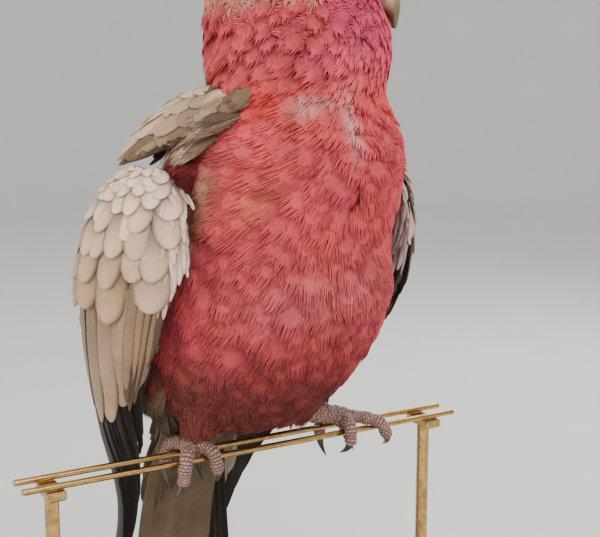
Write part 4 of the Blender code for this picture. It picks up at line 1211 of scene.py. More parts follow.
class GALAH_OT_head_coat(bpy.types.Operator):
    """Lay the ruffled neck, the tiny feathers of the face, the pale cap and the crest"""

    bl_idname = "galah.head_coat"
    bl_label = "Head and neck feathers"

    def neck(self, sizes, soft, rng):
        """Ruffled rows on the sides and nape, smooth ones on the throat."""
        clumps = [plume(16, 40 + k, n, cup=0.34, body=0.76, pointed=2.2) for k, n in enumerate((3, 4, 5, 3))]
        seat = sow(body_surface, along_at(0.3580), along_at(0.3120), 0.0044, 0.0052, rng)
        n, point = len(seat), body_surface(*seat.T)
        ring = np.degrees(body_angles(point)[0])
        ruff = smooth(40, 78, np.abs(ring)) * smooth(0.308, 0.318, point[:, 2])
        length = sizes.neck_length * (1.10 - 0.10 * ruff) * rng.uniform(0.80, 1.15, n)
        swing = np.sign(ring) * np.radians(14) * ruff + rng.normal(0.0, 0.10 + 0.14 * ruff)
        travel = pace(body_surface, seat, length, swing)
        clump = wobble(point, 0.019)
        stand = 0.0002 + ruff * sizes.neck_ruffle * (0.95 * clump + rng.uniform(-0.5, 0.8, n))
        width = sizes.neck_width * (0.86 + 0.14 * ruff) * rng.uniform(0.82, 1.12, n)
        # Raised clumps are painted lighter: a painted highlight on the tops of the ruffles.
        hue = vary(np.repeat(1.0 + 0.16 * (ruff * clump)[:, None], 3, axis=1), rng, 0.06)
        sleek = [plume(12, 50 + k, 3, cup=0.16, body=0.80, slim=0.60, levels=5, columns=3) for k in range(3)]
        batches = []
        # The ruffles darken more towards their roots (fade 0.5): painted shade in the creases between them.
        for mine, shapes, dark in ((ruff > 0.5, clumps, 0.5), (ruff <= 0.5, sleek, 0.2)):
            part = [value[mine] for value in (seat, travel, width, hue, stand, ruff)]
            batches.append(drape(body_surface, shapes, *part[:4], turned_home, rng, stand=part[4],
                                 puff=0.0001 + 0.0008 * part[5], roll=rng.normal(0.0, 0.04 + 0.12 * part[5]),
                                 fade=dark, painted=markings))
        add_coat("coat_neck", batches, soft)

    def face(self, sizes, fine, rng):
        """Tiny feathers that run back from the bill, clear of bill and eyes."""
        tiny = [plume(7, 60 + k, 2, ragged=0.14, levels=4, columns=3) for k in range(4)]
        seat = sow(head_surface, 0.10, 0.93, 0.0027, 0.0034, rng, jitter=0.38)
        point = head_surface(*seat.T)
        middle = point - head_point(0.0, 0.0, 0.0)
        forward = middle[:, 0] * math.sin(HEAD_TURN) - middle[:, 1] * math.cos(HEAD_TURN)
        side = middle[:, 0] * math.cos(HEAD_TURN) + middle[:, 1] * math.sin(HEAD_TURN)
        bare = ((np.abs(side) < BARE_SIDE) & (forward > BARE_FORWARD) & (point[:, 2] > BARE_LOW)
                & (point[:, 2] < BARE_HIGH))
        seat = seat[(point[:, 2] > 0.3420) & ~bare]
        back = smooth(0.40, 0.75, seat[:, 1])
        length = sizes.face_length * (1.0 + 0.7 * back) * rng.uniform(0.85, 1.15, len(seat))
        travel = pace(head_surface, seat, length, rng.normal(0.0, 0.16, len(seat)))
        eyes = [head_point(EYE_FORWARD, s * (EYE_SIDE + 0.004), EYE_HEIGHT) for s in (-1, 1)]
        for share in (0.0, 0.35, 0.7, 1.0):
            at = head_surface(*(seat + travel * share).T)
            gap = np.min([np.linalg.norm(at - eye, axis=1) for eye in eyes], axis=0)
            shrink = np.where(gap > EYE_CLEAR, 1.0, max(share - 0.35, 0.0))
            travel, length = travel * shrink[:, None], length * shrink
        seat, travel, length, back = (value[length > 0.0016] for value in (seat, travel, length, back))
        n = len(seat)
        width = (0.0020 + 0.0013 * back) * np.clip(length / sizes.face_length, 0.5, 1)
        stand = 0.0003 + 0.0009 * rng.uniform(0, 1, n) * smooth(0.35, 0.7, seat[:, 1])
        batch = drape(head_surface, tiny, seat, travel, width, vary(np.ones((n, 3)), rng, 0.05), turned_home,
                      rng, sink=-0.0013, stand=stand * 0.6, puff=0.0002, roll=rng.normal(0.0, 0.07, n),
                      outward=-1.0, painted=markings)
        add_coat("coat_face", [batch], fine)

    def cap(self, fine, rng, tones):
        """The pale cap's loose lower edge: longer pointed feathers that flare over the neck."""
        tufts = [plume(10, 80 + k, 2, cup=0.35, body=0.66, gather=0.7) for k in range(3)]
        batches, n = [], 46
        for height, reach, flare in ((0.3710, 0.0130, 0.0002), (0.3675, 0.0140, 0.0003),
                                     (0.3640, 0.0150, 0.0006), (0.3610, 0.0145, 0.0010)):
            ring = np.radians(np.linspace(76, 284, n)) + rng.normal(0.0, 0.03, n)
            ring = (ring + np.pi) % (2 * np.pi) - np.pi
            seat = np.column_stack((ring, along_at(height + rng.normal(0.0, 0.0009, n))))
            back = smooth(100, 150, np.abs(np.degrees(ring)))
            length = reach * rng.uniform(0.75, 1.15, n) * (0.85 + 0.25 * back)
            swing = np.sign(ring) * np.radians(20) * (1 - back) + rng.normal(0.0, 0.18, n)
            # The nape tone is partly painted shade on the cap's lower edge.
            hue = paint(evenly(tones.nape, n), tones.rose, rng.uniform(0, 0.45, n))
            batches.append(drape(body_surface, tufts, seat, pace(body_surface, seat, length, swing),
                                 0.0038, vary(hue, rng, 0.06), turned_home, rng,
                                 stand=flare * rng.uniform(0.3, 1.5, n), puff=0.0004,
                                 roll=rng.normal(0.0, 0.14, n)))
        add_coat("coat_cap_edge", batches, fine)

    def crest(self, fine, rng, tones):
        """The crest's overlapping pale feathers, laid back from the forehead and longest at the rear."""
        blades = [leaf(9, 5, root=0.45, widest=0.5, bluntness=1.7, cup=0.30, notches=n)
                  for n in ((), ((1, 0.7, 0.4),), ((-1, 0.82, 0.4),))]
        seat = sow(crest_surface, -0.02, 0.80, 0.0042, 0.0044, rng, low=-0.95, high=0.95)
        n = len(seat)
        length = (0.0110 + 0.0170 * smooth(0.0, 0.6, seat[:, 1])) * rng.uniform(0.85, 1.1, n)
        length = np.minimum(length, 0.0700 * (1.06 - seat[:, 1]))
        travel = pace(crest_surface, seat, length, -0.10 * seat[:, 0] + rng.normal(0, 0.06, n))
        hue = paint(evenly(tones.pale, n), tones.rose, rng.uniform(0, 0.16, n))
        batch = drape(crest_surface, blades, seat, travel, 0.0034, vary(hue, rng, 0.05), across_home, rng,
                      sink=-0.0030, stand=rng.uniform(0.0002, 0.0008, n),
                      roll=0.25 * seat[:, 0] + rng.normal(0, 0.1, n), outward=-1.0)
        add_coat("crest_feathers", [batch], fine, ("crest",))

    def execute(self, context):
        sizes, tones = context.scene.galah_coat, context.scene.galah_plumage
        rng = np.random.default_rng(sizes.seed + 1)
        soft = feather_material("feather_neck", 20.0, 0.24)
        fine = feather_material("feather_fine", 9.0, 0.12, 0.80)
        self.neck(sizes, soft, rng)
        self.face(sizes, fine, rng)
        self.cap(fine, rng, tones)
        self.crest(fine, rng, tones)
        return {"FINISHED"}


# ======== shoulders, wings and tail

def long_vanes(count, columns=7, **shape):
    """Several firm vanes, some with a split in an edge."""
    splits = ((), ((1, 0.78, 0.45),), ((-1, 0.66, 0.40), (1, 0.88, 0.35)), ((-1, 0.83, 0.5),))
    return [leaf(12, columns, notches=splits[k % len(splits)], seed=k, **shape) for k in range(count)]


class GALAH_OT_shoulders(bpy.types.Operator):
    """Lay the long grey feathers that overhang the top of each wing"""

    bl_idname = "galah.shoulders"
    bl_label = "Shoulder feathers"

    def sheet(self, surface, outward, tone, sign, narrow, rng, tones):
        """One face of a lobe: sown broad feathers, then two rows of narrow ones that reach past its end."""
        broad = long_vanes(4, root=0.50, widest=0.60, bluntness=2.2, cup=0.22)
        seat = sow(surface, 0.01, 0.52, 0.0056, 0.0070, rng, low=-0.74, high=0.74)
        n, (across, along) = len(seat), seat.T
        length = (0.0170 + 0.0080 * np.clip(along, 0, 1)) * rng.uniform(0.88, 1.12, n)
        travel = pace(surface, seat, length, 0.22 * across + rng.normal(0, 0.08, n))
        hue = paint(evenly(tones.covert, n), tones.grey,
                    0.75 * (1 - smooth(-0.1, 0.45, along)) + rng.uniform(-0.15, 0.15, n))
        # Browner towards the lobe's lower edge: partly its brown down, partly painted shade beneath the lobe.
        hue = paint(hue, tones.umber, 0.25 + 0.75 * smooth(-0.2, 0.9, sign * across))
        # tone scales the colours; the lower face gets half, as painted shade on the underside.
        batches = [drape(surface, broad, seat, travel, 0.0046, vary(hue * tone, rng, 0.10), across_home, rng,
                         sink=-0.0014, stand=rng.uniform(0.0004, 0.0011, n),
                         roll=0.12 * across + rng.normal(0, 0.08, n), outward=outward)]
        n = 11
        for root, reach, half in ((0.34, 0.44, 0.0036), (0.50, 0.49, 0.0031)):
            across = np.linspace(-0.82, 0.82, n) + rng.normal(0, 0.05, n)
            seat = np.column_stack((across, np.full(n, root)))
            ends = reach + rng.uniform(-0.09, 0.04, n) - 0.14 * across**2
            travel = np.column_stack((0.22 * across + rng.normal(0, 0.05, n), ends))
            # The narrow feathers too are browner towards the lower edge: partly brown down, partly painted
            # shade.
            brown = 0.2 + 0.9 * smooth(-0.2, 0.9, sign * across) + rng.uniform(-0.15, 0.25, n)
            hue = paint(evenly(tones.covert, n), tones.umber, np.clip(brown, 0, 1.15))
            batches.append(drape(surface, narrow, seat, travel, half, vary(hue * tone, rng, 0.07),
                                 across_home, rng, sink=-0.0008, stand=rng.uniform(0.0005, 0.0011, n),
                                 roll=rng.normal(0, 0.14, n), outward=outward))
        return batches

    def hanging_shade(self, surface, sign, narrow, rng, tones):
        """Dark feathers that hang free under the lobe, near black as painted shade beneath it."""
        n = 13
        across = np.linspace(-0.80, 0.80, n) + rng.normal(0, 0.05, n)
        seat = np.column_stack((across, rng.uniform(0.22, 0.50, n)))
        travel = np.column_stack((0.15 * across, rng.uniform(0.34, 0.46, n)))
        hue = paint(evenly(tones.slate, n), tones.umber, rng.uniform(0, 0.45, n))
        return drape(surface, narrow, seat, travel, 0.0038, vary(hue, rng, 0.12), across_home, rng,
                     sink=-0.0006,
                     stand=rng.uniform(0.0030, 0.0064, n) + 0.0050 * smooth(-0.2, 0.9, sign * across),
                     roll=rng.normal(0, 0.2, n))

    def down(self, sign, rng, tones):
        """Loose brown down that hides the root and hangs over the side of the breast."""
        n = 96
        spread = rng.uniform(0.0, 1.0, (n, 2))
        low = np.arange(n) >= 66
        ring = sign * np.radians(np.where(low, 96.0 + 20.0 * spread[:, 0], 102.0 + 39.0 * spread[:, 0]))
        seat = np.column_stack((ring, along_at(np.where(low, 0.3125, 0.3225) - 0.0130 * spread[:, 1])))
        travel = pace(body_surface, seat, rng.uniform(0.0100, 0.0160, n) * np.where(low, 1.35, 1.0),
                      sign * rng.normal(0.30, 0.22, n))
        hue = paint(evenly(tones.umber, n), tones.covert, rng.uniform(-0.35, 0.60, n) + 0.15 * low)
        return drape(body_surface, [plume(16, 100 + k, 3, pointed=2.0) for k in range(3)], seat, travel,
                     0.0036 * rng.uniform(0.8, 1.2, n), vary(hue, rng, 0.20), turned_home, rng, sink=0.0010,
                     stand=rng.uniform(0.0030, 0.0064, n) + 0.0030 * low, puff=0.0016,
                     roll=rng.normal(0, 0.25, n))

    def execute(self, context):
        tones = context.scene.galah_plumage
        mat = feather_material("feather_shoulder", 14.0, 0.14, 0.66)
        narrow = long_vanes(4, root=0.45, widest=0.42, bluntness=1.35, cup=0.26)
        for side, line, sign in (("right", SHOULDER_RIGHT, -1.0), ("left", SHOULDER_LEFT, 1.0)):
            rng = np.random.default_rng(31 + int(sign))
            facing = (sign * SHOULDER_LIFT[0],) + SHOULDER_LIFT[1:]
            upper, lower = (lobe_surface(line, SHOULDER_HALF_WIDTH, SHOULDER_HALF_DEPTH, facing, under)
                            for under in (False, True))
            batches = self.sheet(upper, -1.0, 1.0, sign, narrow, rng, tones)
            # The lower face's colours at half strength: painted shade on the underside of the lobe.
            batches += self.sheet(lower, 1.0, 0.50, sign, narrow, rng, tones)
            batches += [self.hanging_shade(lower, sign, narrow, rng, tones), self.down(sign, rng, tones)]
            add_coat("shoulder_feathers_" + side, batches, mat, ("shoulder_" + side,))
        return {"FINISHED"}


class GALAH_OT_wings(bpy.types.Operator):
    """Lay the coverts, flight feathers and lining of both wings"""

    bl_idname = "galah.wings"
    bl_label = "Wing feathers"

    def coverts(self, surface, outward, rng, sizes, tones):
        """Rows of rounded feathers that grow larger down the wing."""
        scales = [leaf(12, 7, root=0.84, widest=0.60, bluntness=2.9, cup=0.20, thick=0.050, rim=0.42,
                       notches=notches, seed=k)
                  for k, notches in enumerate(((), ((1, 0.85, 0.12),), (), ((-1, 0.88, 0.15),)))]
        fine = np.linspace(0.0, 0.40, 120)
        steps = np.linalg.norm(np.diff(surface(np.zeros(120), fine), axis=0), axis=1)
        run = np.append(0.0, np.cumsum(steps))
        batches, before = [], -0.03
        for reach, size in COVERT_ROWS:
            tip, half = reach * sizes.covert_run, size * sizes.covert_width
            length = 2.3 * (reach - before) * sizes.covert_run + 0.0050
            before = reach
            ring = surface(np.linspace(-1, 1, 40), np.full(40, np.interp(tip, run, fine)))
            girth = np.linalg.norm(np.diff(ring, axis=0), axis=1).sum()
            n = max(int(girth / (half * 1.42)), 4)
            across = np.linspace(-0.80, 0.84, n) + 0.5 * (len(batches) % 2) / n
            across = across + rng.normal(0.0, 0.16 / n, n)
            root = tip - length + 0.0030 * across
            level = np.interp(root + rng.normal(0.0, 0.0009, n), run, fine)
            level = level + np.minimum(root, 0.0) / run[-1] * fine[-1]
            travel = pace(surface, np.column_stack((across, np.maximum(level, 0.02))),
                          length * rng.uniform(0.95, 1.06, n), 0.08 * across + rng.normal(0.0, 0.05, n))
            hue = paint(evenly(tones.covert, n), tones.covert_low,
                        smooth(0.20, 1.0, reach) + rng.uniform(-0.14, 0.14, n))
            pale = 0.45 * smooth(0.45, 0.95, -across) + 0.35 * (1 - smooth(0.1, 0.35, reach))
            hue = paint(hue, tones.edge, pale)
            # The roots darken strongly (fade 0.90): painted shade beneath the tips of the row above.
            batches.append(drape(surface, scales, np.column_stack((across, level)), travel,
                                 half * rng.uniform(0.90, 1.08, n), vary(hue, rng, 0.06), across_home, rng,
                                 sink=-0.0010, stand=rng.uniform(0.0019, 0.0029, n), puff=0.0001, bend=1.05,
                                 roll=rng.normal(0.0, 0.05, n), outward=outward, fade=0.90))
        return batches

    def front_edge(self, surface, spikes, outward, rng, tones):
        """Narrow pale pointed feathers that hang over the wing's front edge."""
        batches, right = [], outward < 0
        for across, first, last, n, swing in ((-0.78, 0.00, 0.18, 13, -0.04), (-0.88, 0.01, 0.24, 18, -0.07),
                                              (-0.98, 0.03, 0.30, 20, -0.12)):
            level = np.maximum(np.linspace(first, last, n) + rng.normal(0, 0.006, n), 0.012)
            seat = np.column_stack((np.maximum(across + rng.normal(0, 0.02, n), -1.0), level))
            length = (0.0150 + 0.0050 * smooth(0.05, 0.40, level)) * rng.uniform(0.82, 1.12, n)
            tuft = near(level, 0.13, 0.04) * right
            travel = pace(surface, seat, length * (1 + 0.3 * tuft),
                          swing * (1.0 + 3.0 * tuft if right else 0.2) + rng.normal(0.0, 0.07, n))
            hue = paint(evenly(tones.edge, n), tones.flight,
                        rng.uniform(0.0, 0.30, n) + 0.35 * smooth(0.22, 0.5, level))
            if not right:
                hue = paint(hue, tones.slate, smooth(0.19, 0.25, level))
            batches.append(drape(surface, spikes, seat, travel, 0.0017 * rng.uniform(0.85, 1.3, n),
                                 vary(hue, rng, 0.08), across_home, rng, sink=0.0002,
                                 stand=0.0013 * rng.uniform(0.4, 1.4, n), roll=0.15 + rng.normal(0.0, 0.2, n),
                                 outward=outward, fade=0.5))
        return batches

    def inner_edge(self, surface, spikes, outward, rng, tones):
        """The same narrow feathers where they turn round the edge onto the inner face, dark ones below."""
        batches = []
        pale = tones.covert if outward > 0 else tones.white
        for across, first, last, n, tone, longer in (
                (-0.70, 0.02, 0.18, 10, pale, 1.0), (-0.84, 0.02, 0.22, 12, pale, 1.0),
                (-0.90, 0.22, 0.58, 14, tones.slate, 2.0), (-0.97, 0.02, 0.21, 14, pale, 1.0)):
            level = np.maximum(np.linspace(first, last, n) + rng.normal(0, 0.006, n), 0.012)
            seat = np.column_stack((np.full(n, across), level))
            travel = pace(surface, seat, rng.uniform(0.0150, 0.0200, n) * longer, rng.normal(0.0, 0.08, n))
            batches.append(drape(surface, spikes, seat, travel, 0.0020, vary(evenly(tone, n), rng, 0.10),
                                 across_home, rng, sink=0.0008, stand=0.0024 * rng.uniform(0.6, 1.2, n),
                                 roll=rng.normal(0.0, 0.15, n), outward=outward, fade=0.6))
        return batches

    def flights(self, surface, outward, rng, sizes, tones):
        """Secondaries over streaked inner feathers over long dark primaries, each a vane of its own."""
        even = np.linspace(0.0, 1.0, sizes.primaries)
        lanes = (
            # roots across, tips across, root along, tips along, half width, colour, rise
            (-0.20 + 0.90 * even, -0.75 + 1.25 * even, 0.34, 0.80 + 0.20 * even**0.7, sizes.primary_width,
             tones.slate, -0.0016),
            ((0.78, 0.46, 0.14, -0.14, -0.34, -0.50), (0.92, 0.30, -0.20, -0.62, -0.86, -0.58), 0.24,
             np.array((0.560, 0.600, 0.612, 0.590, 0.565, 0.495)), sizes.secondary_width,
             tones.flight, -0.0004),
            (np.linspace(-0.96, -0.50, 8), np.linspace(-1.00, -0.72, 8), 0.20,
             np.array((0.50, 0.55, 0.585, 0.56, 0.60, 0.545, 0.575, 0.54)), 0.0024, tones.inner, 0.0016),
        )
        splits = (((), 0.0), (((1, 0.90, 0.25),), 0.05), (((-1, 0.84, 0.3),), -0.05))
        vanes = [leaf(26, 9, root=0.66, widest=0.62, bluntness=1.9, cup=0.18, shaft=0.05, thick=0.030,
                      notches=notches, skew=skew, seed=k, slant=9.0, rim=0.26)
                 for k, (notches, skew) in enumerate(splits)]
        batches, placed = [], 0
        total = sum(len(lane[0]) for lane in lanes)
        for roots, ends, root, tips, half, tone, rise in lanes:
            n = len(roots)
            seat = np.column_stack((roots, np.full(n, root)))
            travel = np.column_stack((ends, np.minimum(tips + rng.normal(0.0, 0.008, n), 0.995))) - seat
            hue = vary(evenly(tone, n), rng, 0.08)
            if rise > 0:
                hue = paint(hue, tones.covert_low, 0.60 * (np.arange(n) % 2) * rng.uniform(0.6, 1.0, n))
            home = np.column_stack(((np.arange(n) + placed + 0.5) / total, np.full(n, 0.5)))
            placed += n
            batches.append(drape(surface, vanes, seat, travel, half * rng.uniform(0.92, 1.06, n), hue,
                                 home, rng, sink=min(rise, -0.0006),
                                 stand=rise + 0.0016 * np.linspace(0.0, 1.0, n), puff=0.0004,
                                 roll=0.10 * outward + rng.normal(0.0, 0.04, n), outward=outward, fade=0.35,
                                 span=np.array((0.8 / total / PATCH, 0.9 / PATCH))))
        return batches

    def lining(self, surface, outward, rng, tones):
        """Soft grey feathers on the inner face."""
        vanes = [leaf(7, 5, root=0.40, widest=0.60, cup=0.2, notches=n) for n in ((), ((1, 0.8, 0.3),))]
        seat = sow(surface, 0.02, 0.42, 0.0062, 0.0078, rng, low=-0.92, high=0.92)
        n, (across, along) = len(seat), seat.T
        travel = pace(surface, seat, 0.0165 * rng.uniform(0.9, 1.1, n), rng.normal(0, 0.08, n))
        hue = paint(0.85 * evenly(tones.grey, n), tones.slate,
                    0.7 * smooth(0.16, 0.26, along) * smooth(0.0, 0.5, -across))
        hue = paint(hue, tones.white, 0.8 * (1 - smooth(0.12, 0.24, along)) * smooth(-0.2, 0.4, -across))
        return [drape(surface, vanes, seat, travel, 0.0054, vary(hue, rng, 0.06), across_home, rng,
                      sink=-0.0006, stand=0.0009, outward=outward)]

    def execute(self, context):
        sizes, tones = context.scene.galah_wing, context.scene.galah_plumage
        firm = feather_material("feather_wing", 12.0, 0.10, 0.62, 0.15)
        flight = feather_material("feather_flight", 12.0, 0.12, 0.55, 0.10)
        spikes = long_vanes(4, columns=5, root=0.50, widest=0.40, bluntness=1.45, cup=0.30)
        for side, front, back, sign in (("right", WING_RIGHT_FRONT, WING_RIGHT_BACK, -1.0),
                                        ("left", WING_LEFT_FRONT, WING_LEFT_BACK, 1.0)):
            rng = np.random.default_rng(51 + int(sign))
            outer, inner = wing_surface(front, back), wing_surface(front, back, inner=True)
            batches = self.coverts(outer, sign, rng, sizes, tones)
            batches += self.front_edge(outer, spikes, sign, rng, tones)
            add_coat("wing_coverts_" + side, batches, firm, ("wing_" + side,))
            add_coat("wing_flight_" + side, self.flights(outer, sign, rng, sizes, tones), flight,
                     ("wing_" + side,))
            batches = self.lining(inner, -sign, rng, tones)
            batches += self.inner_edge(inner, spikes, -sign, rng, tones)
            add_coat("wing_lining_" + side, batches, firm)
        return {"FINISHED"}


class GALAH_OT_tail(bpy.types.Operator):
    """Lay the tail feathers, with their coverts above and below"""

    bl_idname = "galah.tail"
    bl_label = "Tail feathers"

    def execute(self, context):
        sizes, tones = context.scene.galah_wing, context.scene.galah_plumage
        rng = np.random.default_rng(71)
        flight = feather_material("feather_tail", 12.0, 0.12, 0.55, 0.10)
        soft = feather_material("feather_rump", 14.0, 0.12, 0.72)
        vanes = [leaf(26, 9, root=0.45, widest=0.80, bluntness=3.4, cup=0.08, shaft=0.05, thick=0.030,
                      notches=notches, seed=k, slant=12.0)
                 for k, notches in enumerate(((), ((1, 0.9, 0.3),), ((-1, 0.86, 0.35),)))]
        n = sizes.tail_feathers
        share = np.linspace(-1.0, 1.0, n)
        seat = np.column_stack((0.45 * share, np.full(n, 0.30)))
        travel = np.column_stack((0.80 * share, 0.990 - 0.030 * share**2)) - seat
        home = np.column_stack(((np.arange(n) + 0.5) / n, np.full(n, 0.5)))
        batch = drape(tail_surface(0.0), vanes, seat, travel, sizes.tail_width,
                      vary(evenly(tones.slate, n), rng, 0.10), home, rng, sink=0.0,
                      stand=0.0008 * (1 - share**2), outward=-1.0, fade=0.1, roll=-0.16 * share,
                      span=np.array((0.8 / n / PATCH, 0.9 / PATCH)))
        add_coat("tail_feathers", [batch], flight, ("tail",))
        leaves = long_vanes(4, root=0.55, widest=0.60, bluntness=2.2, cup=0.20)
        fluff = [plume(16, 90 + k, 4, cup=0.20) for k in range(3)]
        batches = []
        for face, outward, last, shapes, tone in ((1.0, -1.0, 0.44, leaves, tones.rump),
                                                  (-1.0, 1.0, 0.50, fluff, tones.under)):
            surface = tail_surface(face)
            seat = sow(surface, 0.0, last, 0.0060, 0.0072, rng, low=-0.90, high=0.90)
            seat = seat[(face > 0) | (seat[:, 0] < 1.2 - 2.6 * smooth(0.22, 0.55, seat[:, 1]))]
            n = len(seat)
            length = (0.0190 + 0.0140 * smooth(0.1, 0.5, seat[:, 1])) * rng.uniform(0.9, 1.1, n)
            travel = pace(surface, seat, length, rng.normal(0.0, 0.07, n))
            batches.append(drape(surface, shapes, seat, travel, 0.0062, vary(evenly(tone, n), rng, 0.05),
                                 across_home, rng, sink=-0.0012, stand=0.0010, puff=0.0006,
                                 roll=0.2 * seat[:, 0] + rng.normal(0, 0.08, n), outward=outward))
        # Long pale coverts under the tail, side by side, that leave its far edge dark; their tone is darkened
        # as painted shade beneath the tail.
        n = 8
        across = np.linspace(-0.86, 0.26, n)
        seat = np.column_stack((across, np.full(n, 0.24)))
        travel = np.column_stack((0.06 * across, rng.uniform(0.52, 0.65, n)))
        batches.append(drape(tail_surface(-1.0), vanes, seat, travel, 0.0058,
                             vary(evenly(tones.under, n), rng, 0.07), across_home, rng,
                             sink=0.0002, stand=0.0014, roll=0.05, fade=0.1))
        add_coat("tail_coverts", batches, soft, ("tail",))
        return {"FINISHED"}


# ======== bill and eyes

def blade_rings(upper, lower, half_width, steps, sides, grow=0.0, first=0.0, last=1.0):
    """Rings between two outlines in the head's middle plane, rounded to a width that runs out at the tip."""
    t = 1.0 - (1.0 - np.linspace(first, last, steps))**1.3
    top, bottom = bezier(upper, t), bezier(lower, t)
    middle, reach = (top + bottom) / 2, (top - bottom) / 2
    reach = reach * (1.0 + grow / np.maximum(np.linalg.norm(reach, axis=1, keepdims=True), 1e-6))
    width = half_width * np.sqrt(np.clip(1.0 - (0.985 * t)**2.2, 0.0, 1.0)) + grow
    angle = np.linspace(0.0, 2 * np.pi, sides, endpoint=False)
    up = middle[:, None, :] + reach[:, None, :] * np.cos(angle)[None, :, None]
    return head_point(up[..., 0], width[:, None] * np.sin(angle)[None, :], up[..., 1]), t, angle


class GALAH_OT_bill(bpy.types.Operator):
    """Model the hooked upper mandible, the lower one and the cere with its nostrils"""

    bl_idname = "galah.bill"
    bl_label = "Bill"

    def execute(self, context):
        tones = context.scene.galah_head
        mat = bill_material()
        for name, node, top, bottom, width, hook in (
                ("horn_upper", "bill_upper", CULMEN, TOMIUM, BILL_HALF_WIDTH, 1.0),
                ("horn_lower", "bill_lower", LOWER_TOP, GONYS, LOWER_HALF_WIDTH, 0.4)):
            rings, t, angle = blade_rings(top, bottom, width, 72, 56)
            middle = rings.mean(axis=1, keepdims=True)
            ridge = 0.030 * near(np.abs(np.angle(np.exp(1j * angle))), 0.0, 0.35)
            grooves = 0.010 * np.sin(t[:, None] * 46 + 0.8 * np.sin(3 * angle)) * smooth(0.2, 0.5, t)[:, None]
            rings = middle + (rings - middle) * (1 + ridge[None, :, None] + grooves[..., None])
            points, faces = closed_body(rings)
            tint = smooth(0.52, 0.90, t)[:, None] * hook + 0.08 * np.sin(9 * t[:, None] + 2 * np.cos(angle))
            hue = paint(evenly(tones.horn, *tint.shape), tones.horn_tip, tint)
            add_mesh(name, points, faces, mat, (node,), poled(hue))
        rings, t, angle = blade_rings(CULMEN, TOMIUM, BILL_HALF_WIDTH, 30, 64, 0.0007, 0.20, 0.50)
        middle, share = rings.mean(axis=1, keepdims=True), np.linspace(0.0, 1.0, 30)[:, None]
        fade = np.sin(np.pi * share) ** 0.4
        nostril = sum(near(angle, s, 0.20) for s in (0.62, 2 * np.pi - 0.62)) * near(share, 0.62, 0.16)
        swell = 1.0 + 0.03 * fade - 0.10 * (1 - fade) - 0.20 * nostril
        points, faces = closed_body(middle + (rings - middle) * swell[..., None])
        # The nostrils are painted dark as well as dented: painted shade in their openings.
        hue = 0.8 * evenly(tones.lid, *nostril.shape) * (1 - 0.85 * nostril)[..., None]
        cere = painted_material("cere_skin", 0.6, 1400.0, 0.4)
        add_mesh("cere", points, faces, cere, (), poled(hue))
        return {"FINISHED"}


class GALAH_OT_eyes(bpy.types.Operator):
    """Model both eyes, with iris and pupil under a clear bulge, and their wrinkled bare lids"""

    bl_idname = "galah.eyes"
    bl_label = "Eyes"

    def ball(self, centre, axis, around, turn, tones):
        """The eyeball: points, triangles and colours; rings run from the front of the axis to its back."""
        lift = np.linspace(0.02, np.pi - 0.02, 48)[:, None]
        off_axis = EYE_RADIUS * np.sin(lift)
        bulge = 1.0 + 0.05 * near(off_axis, 0.0, 0.0030) * (np.cos(lift) > 0)
        points, faces = closed_body(centre + EYE_RADIUS * bulge[..., None] * (
            np.cos(lift)[..., None] * axis + np.sin(lift)[..., None] * around[None]))
        streak = 0.8 + 0.3 * np.sin(31 * turn + 2 * np.sin(7 * turn))
        shade = 1.0 - (1 - smooth(-0.0002, 0.0002, off_axis - tones.pupil_radius)) * 0.97
        shade = shade * (1 - 0.8 * smooth(-0.0003, 0.0003, off_axis - tones.iris_radius))
        hue = evenly(tones.iris, 48, 72) * (streak * np.where(np.cos(lift) > 0, shade, 0.1))[..., None]
        return points, faces, poled(hue)

    def lid(self, centre, axis, around, turn, tones):
        """The lid, a ring whose profile goes from behind the skin, over a rounded rim, to the ball."""
        span = np.linspace(0.0, 1.0, 18)[:, None]
        radius = LID_RADIUS - LID_WIDTH * span
        height = (0.0030 + 0.0021 * smooth(0.0, 0.75, span) + 0.00055 * near(span, 0.82, 0.12)
                  - 0.0006 * smooth(0.88, 1.0, span))
        folds = 0.00013 * np.sin(26 * turn + 3 * np.sin(3 * turn)) * np.sin(np.pi * span)
        stretch = 1.0 + 0.10 * np.cos(turn)**2
        outer = centre + around * (radius * stretch)[..., None] + axis * (height + folds)[..., None]
        inner = (centre + around * ((radius[::-1] - 0.0001) * stretch)[..., None]
                 + axis * (height[::-1] - 0.0012)[..., None])
        points = np.concatenate((outer, inner)).reshape(-1, 3)
        low = np.arange(36)[:, None] * 72
        i, j, up = np.arange(72), (np.arange(72) + 1) % 72, (low + 72) % len(points)
        quads = np.concatenate((np.stack((low + i, low + j, up + j), -1).reshape(-1, 3),
                                np.stack((low + i, up + j, up + i), -1).reshape(-1, 3)))
        shade = 1.0 - 0.35 * near(span, 0.93, 0.08)
        shade = np.concatenate((shade, shade[::-1] * 0.7)) * (1 + 0.08 * np.sin(26 * turn))
        hue = np.clip(evenly(tones.lid, 36, 72) * shade[..., None], 0, 1)
        return points, facing_out(points, quads), hue.reshape(-1, 3)

    def execute(self, context):
        tones = context.scene.galah_head
        gloss = painted_material("eye_gloss", 0.10, 900.0, 0.0, Specular_IOR_Level=0.6, Coat_Weight=1.0,
                                 Coat_Roughness=0.03)
        lid_skin = painted_material("lid_skin", 0.62, 1600.0, 0.5, Specular_IOR_Level=0.35)
        turn = np.linspace(0.0, 2 * np.pi, 72, endpoint=False)
        for side, sign in (("right", -1.0), ("left", 1.0)):
            centre = head_point(EYE_FORWARD, sign * EYE_SIDE, EYE_HEIGHT)
            axis = unit(head_point(0.30, sign, 0.06) - head_point(0.0, 0.0, 0.0))
            around = round_about(axis, (0.0, 0.0, 1.0), turn)
            points, faces, hue = self.ball(centre, axis, around, turn, tones)
            add_mesh("eyeball_" + side, points, faces, gloss, ("eye_" + side,), hue)
            points, faces, hue = self.lid(centre, axis, around, turn, tones)
            add_mesh("lid_" + side, points, faces, lid_skin, (), hue)
        return {"FINISHED"}


# ======== feet

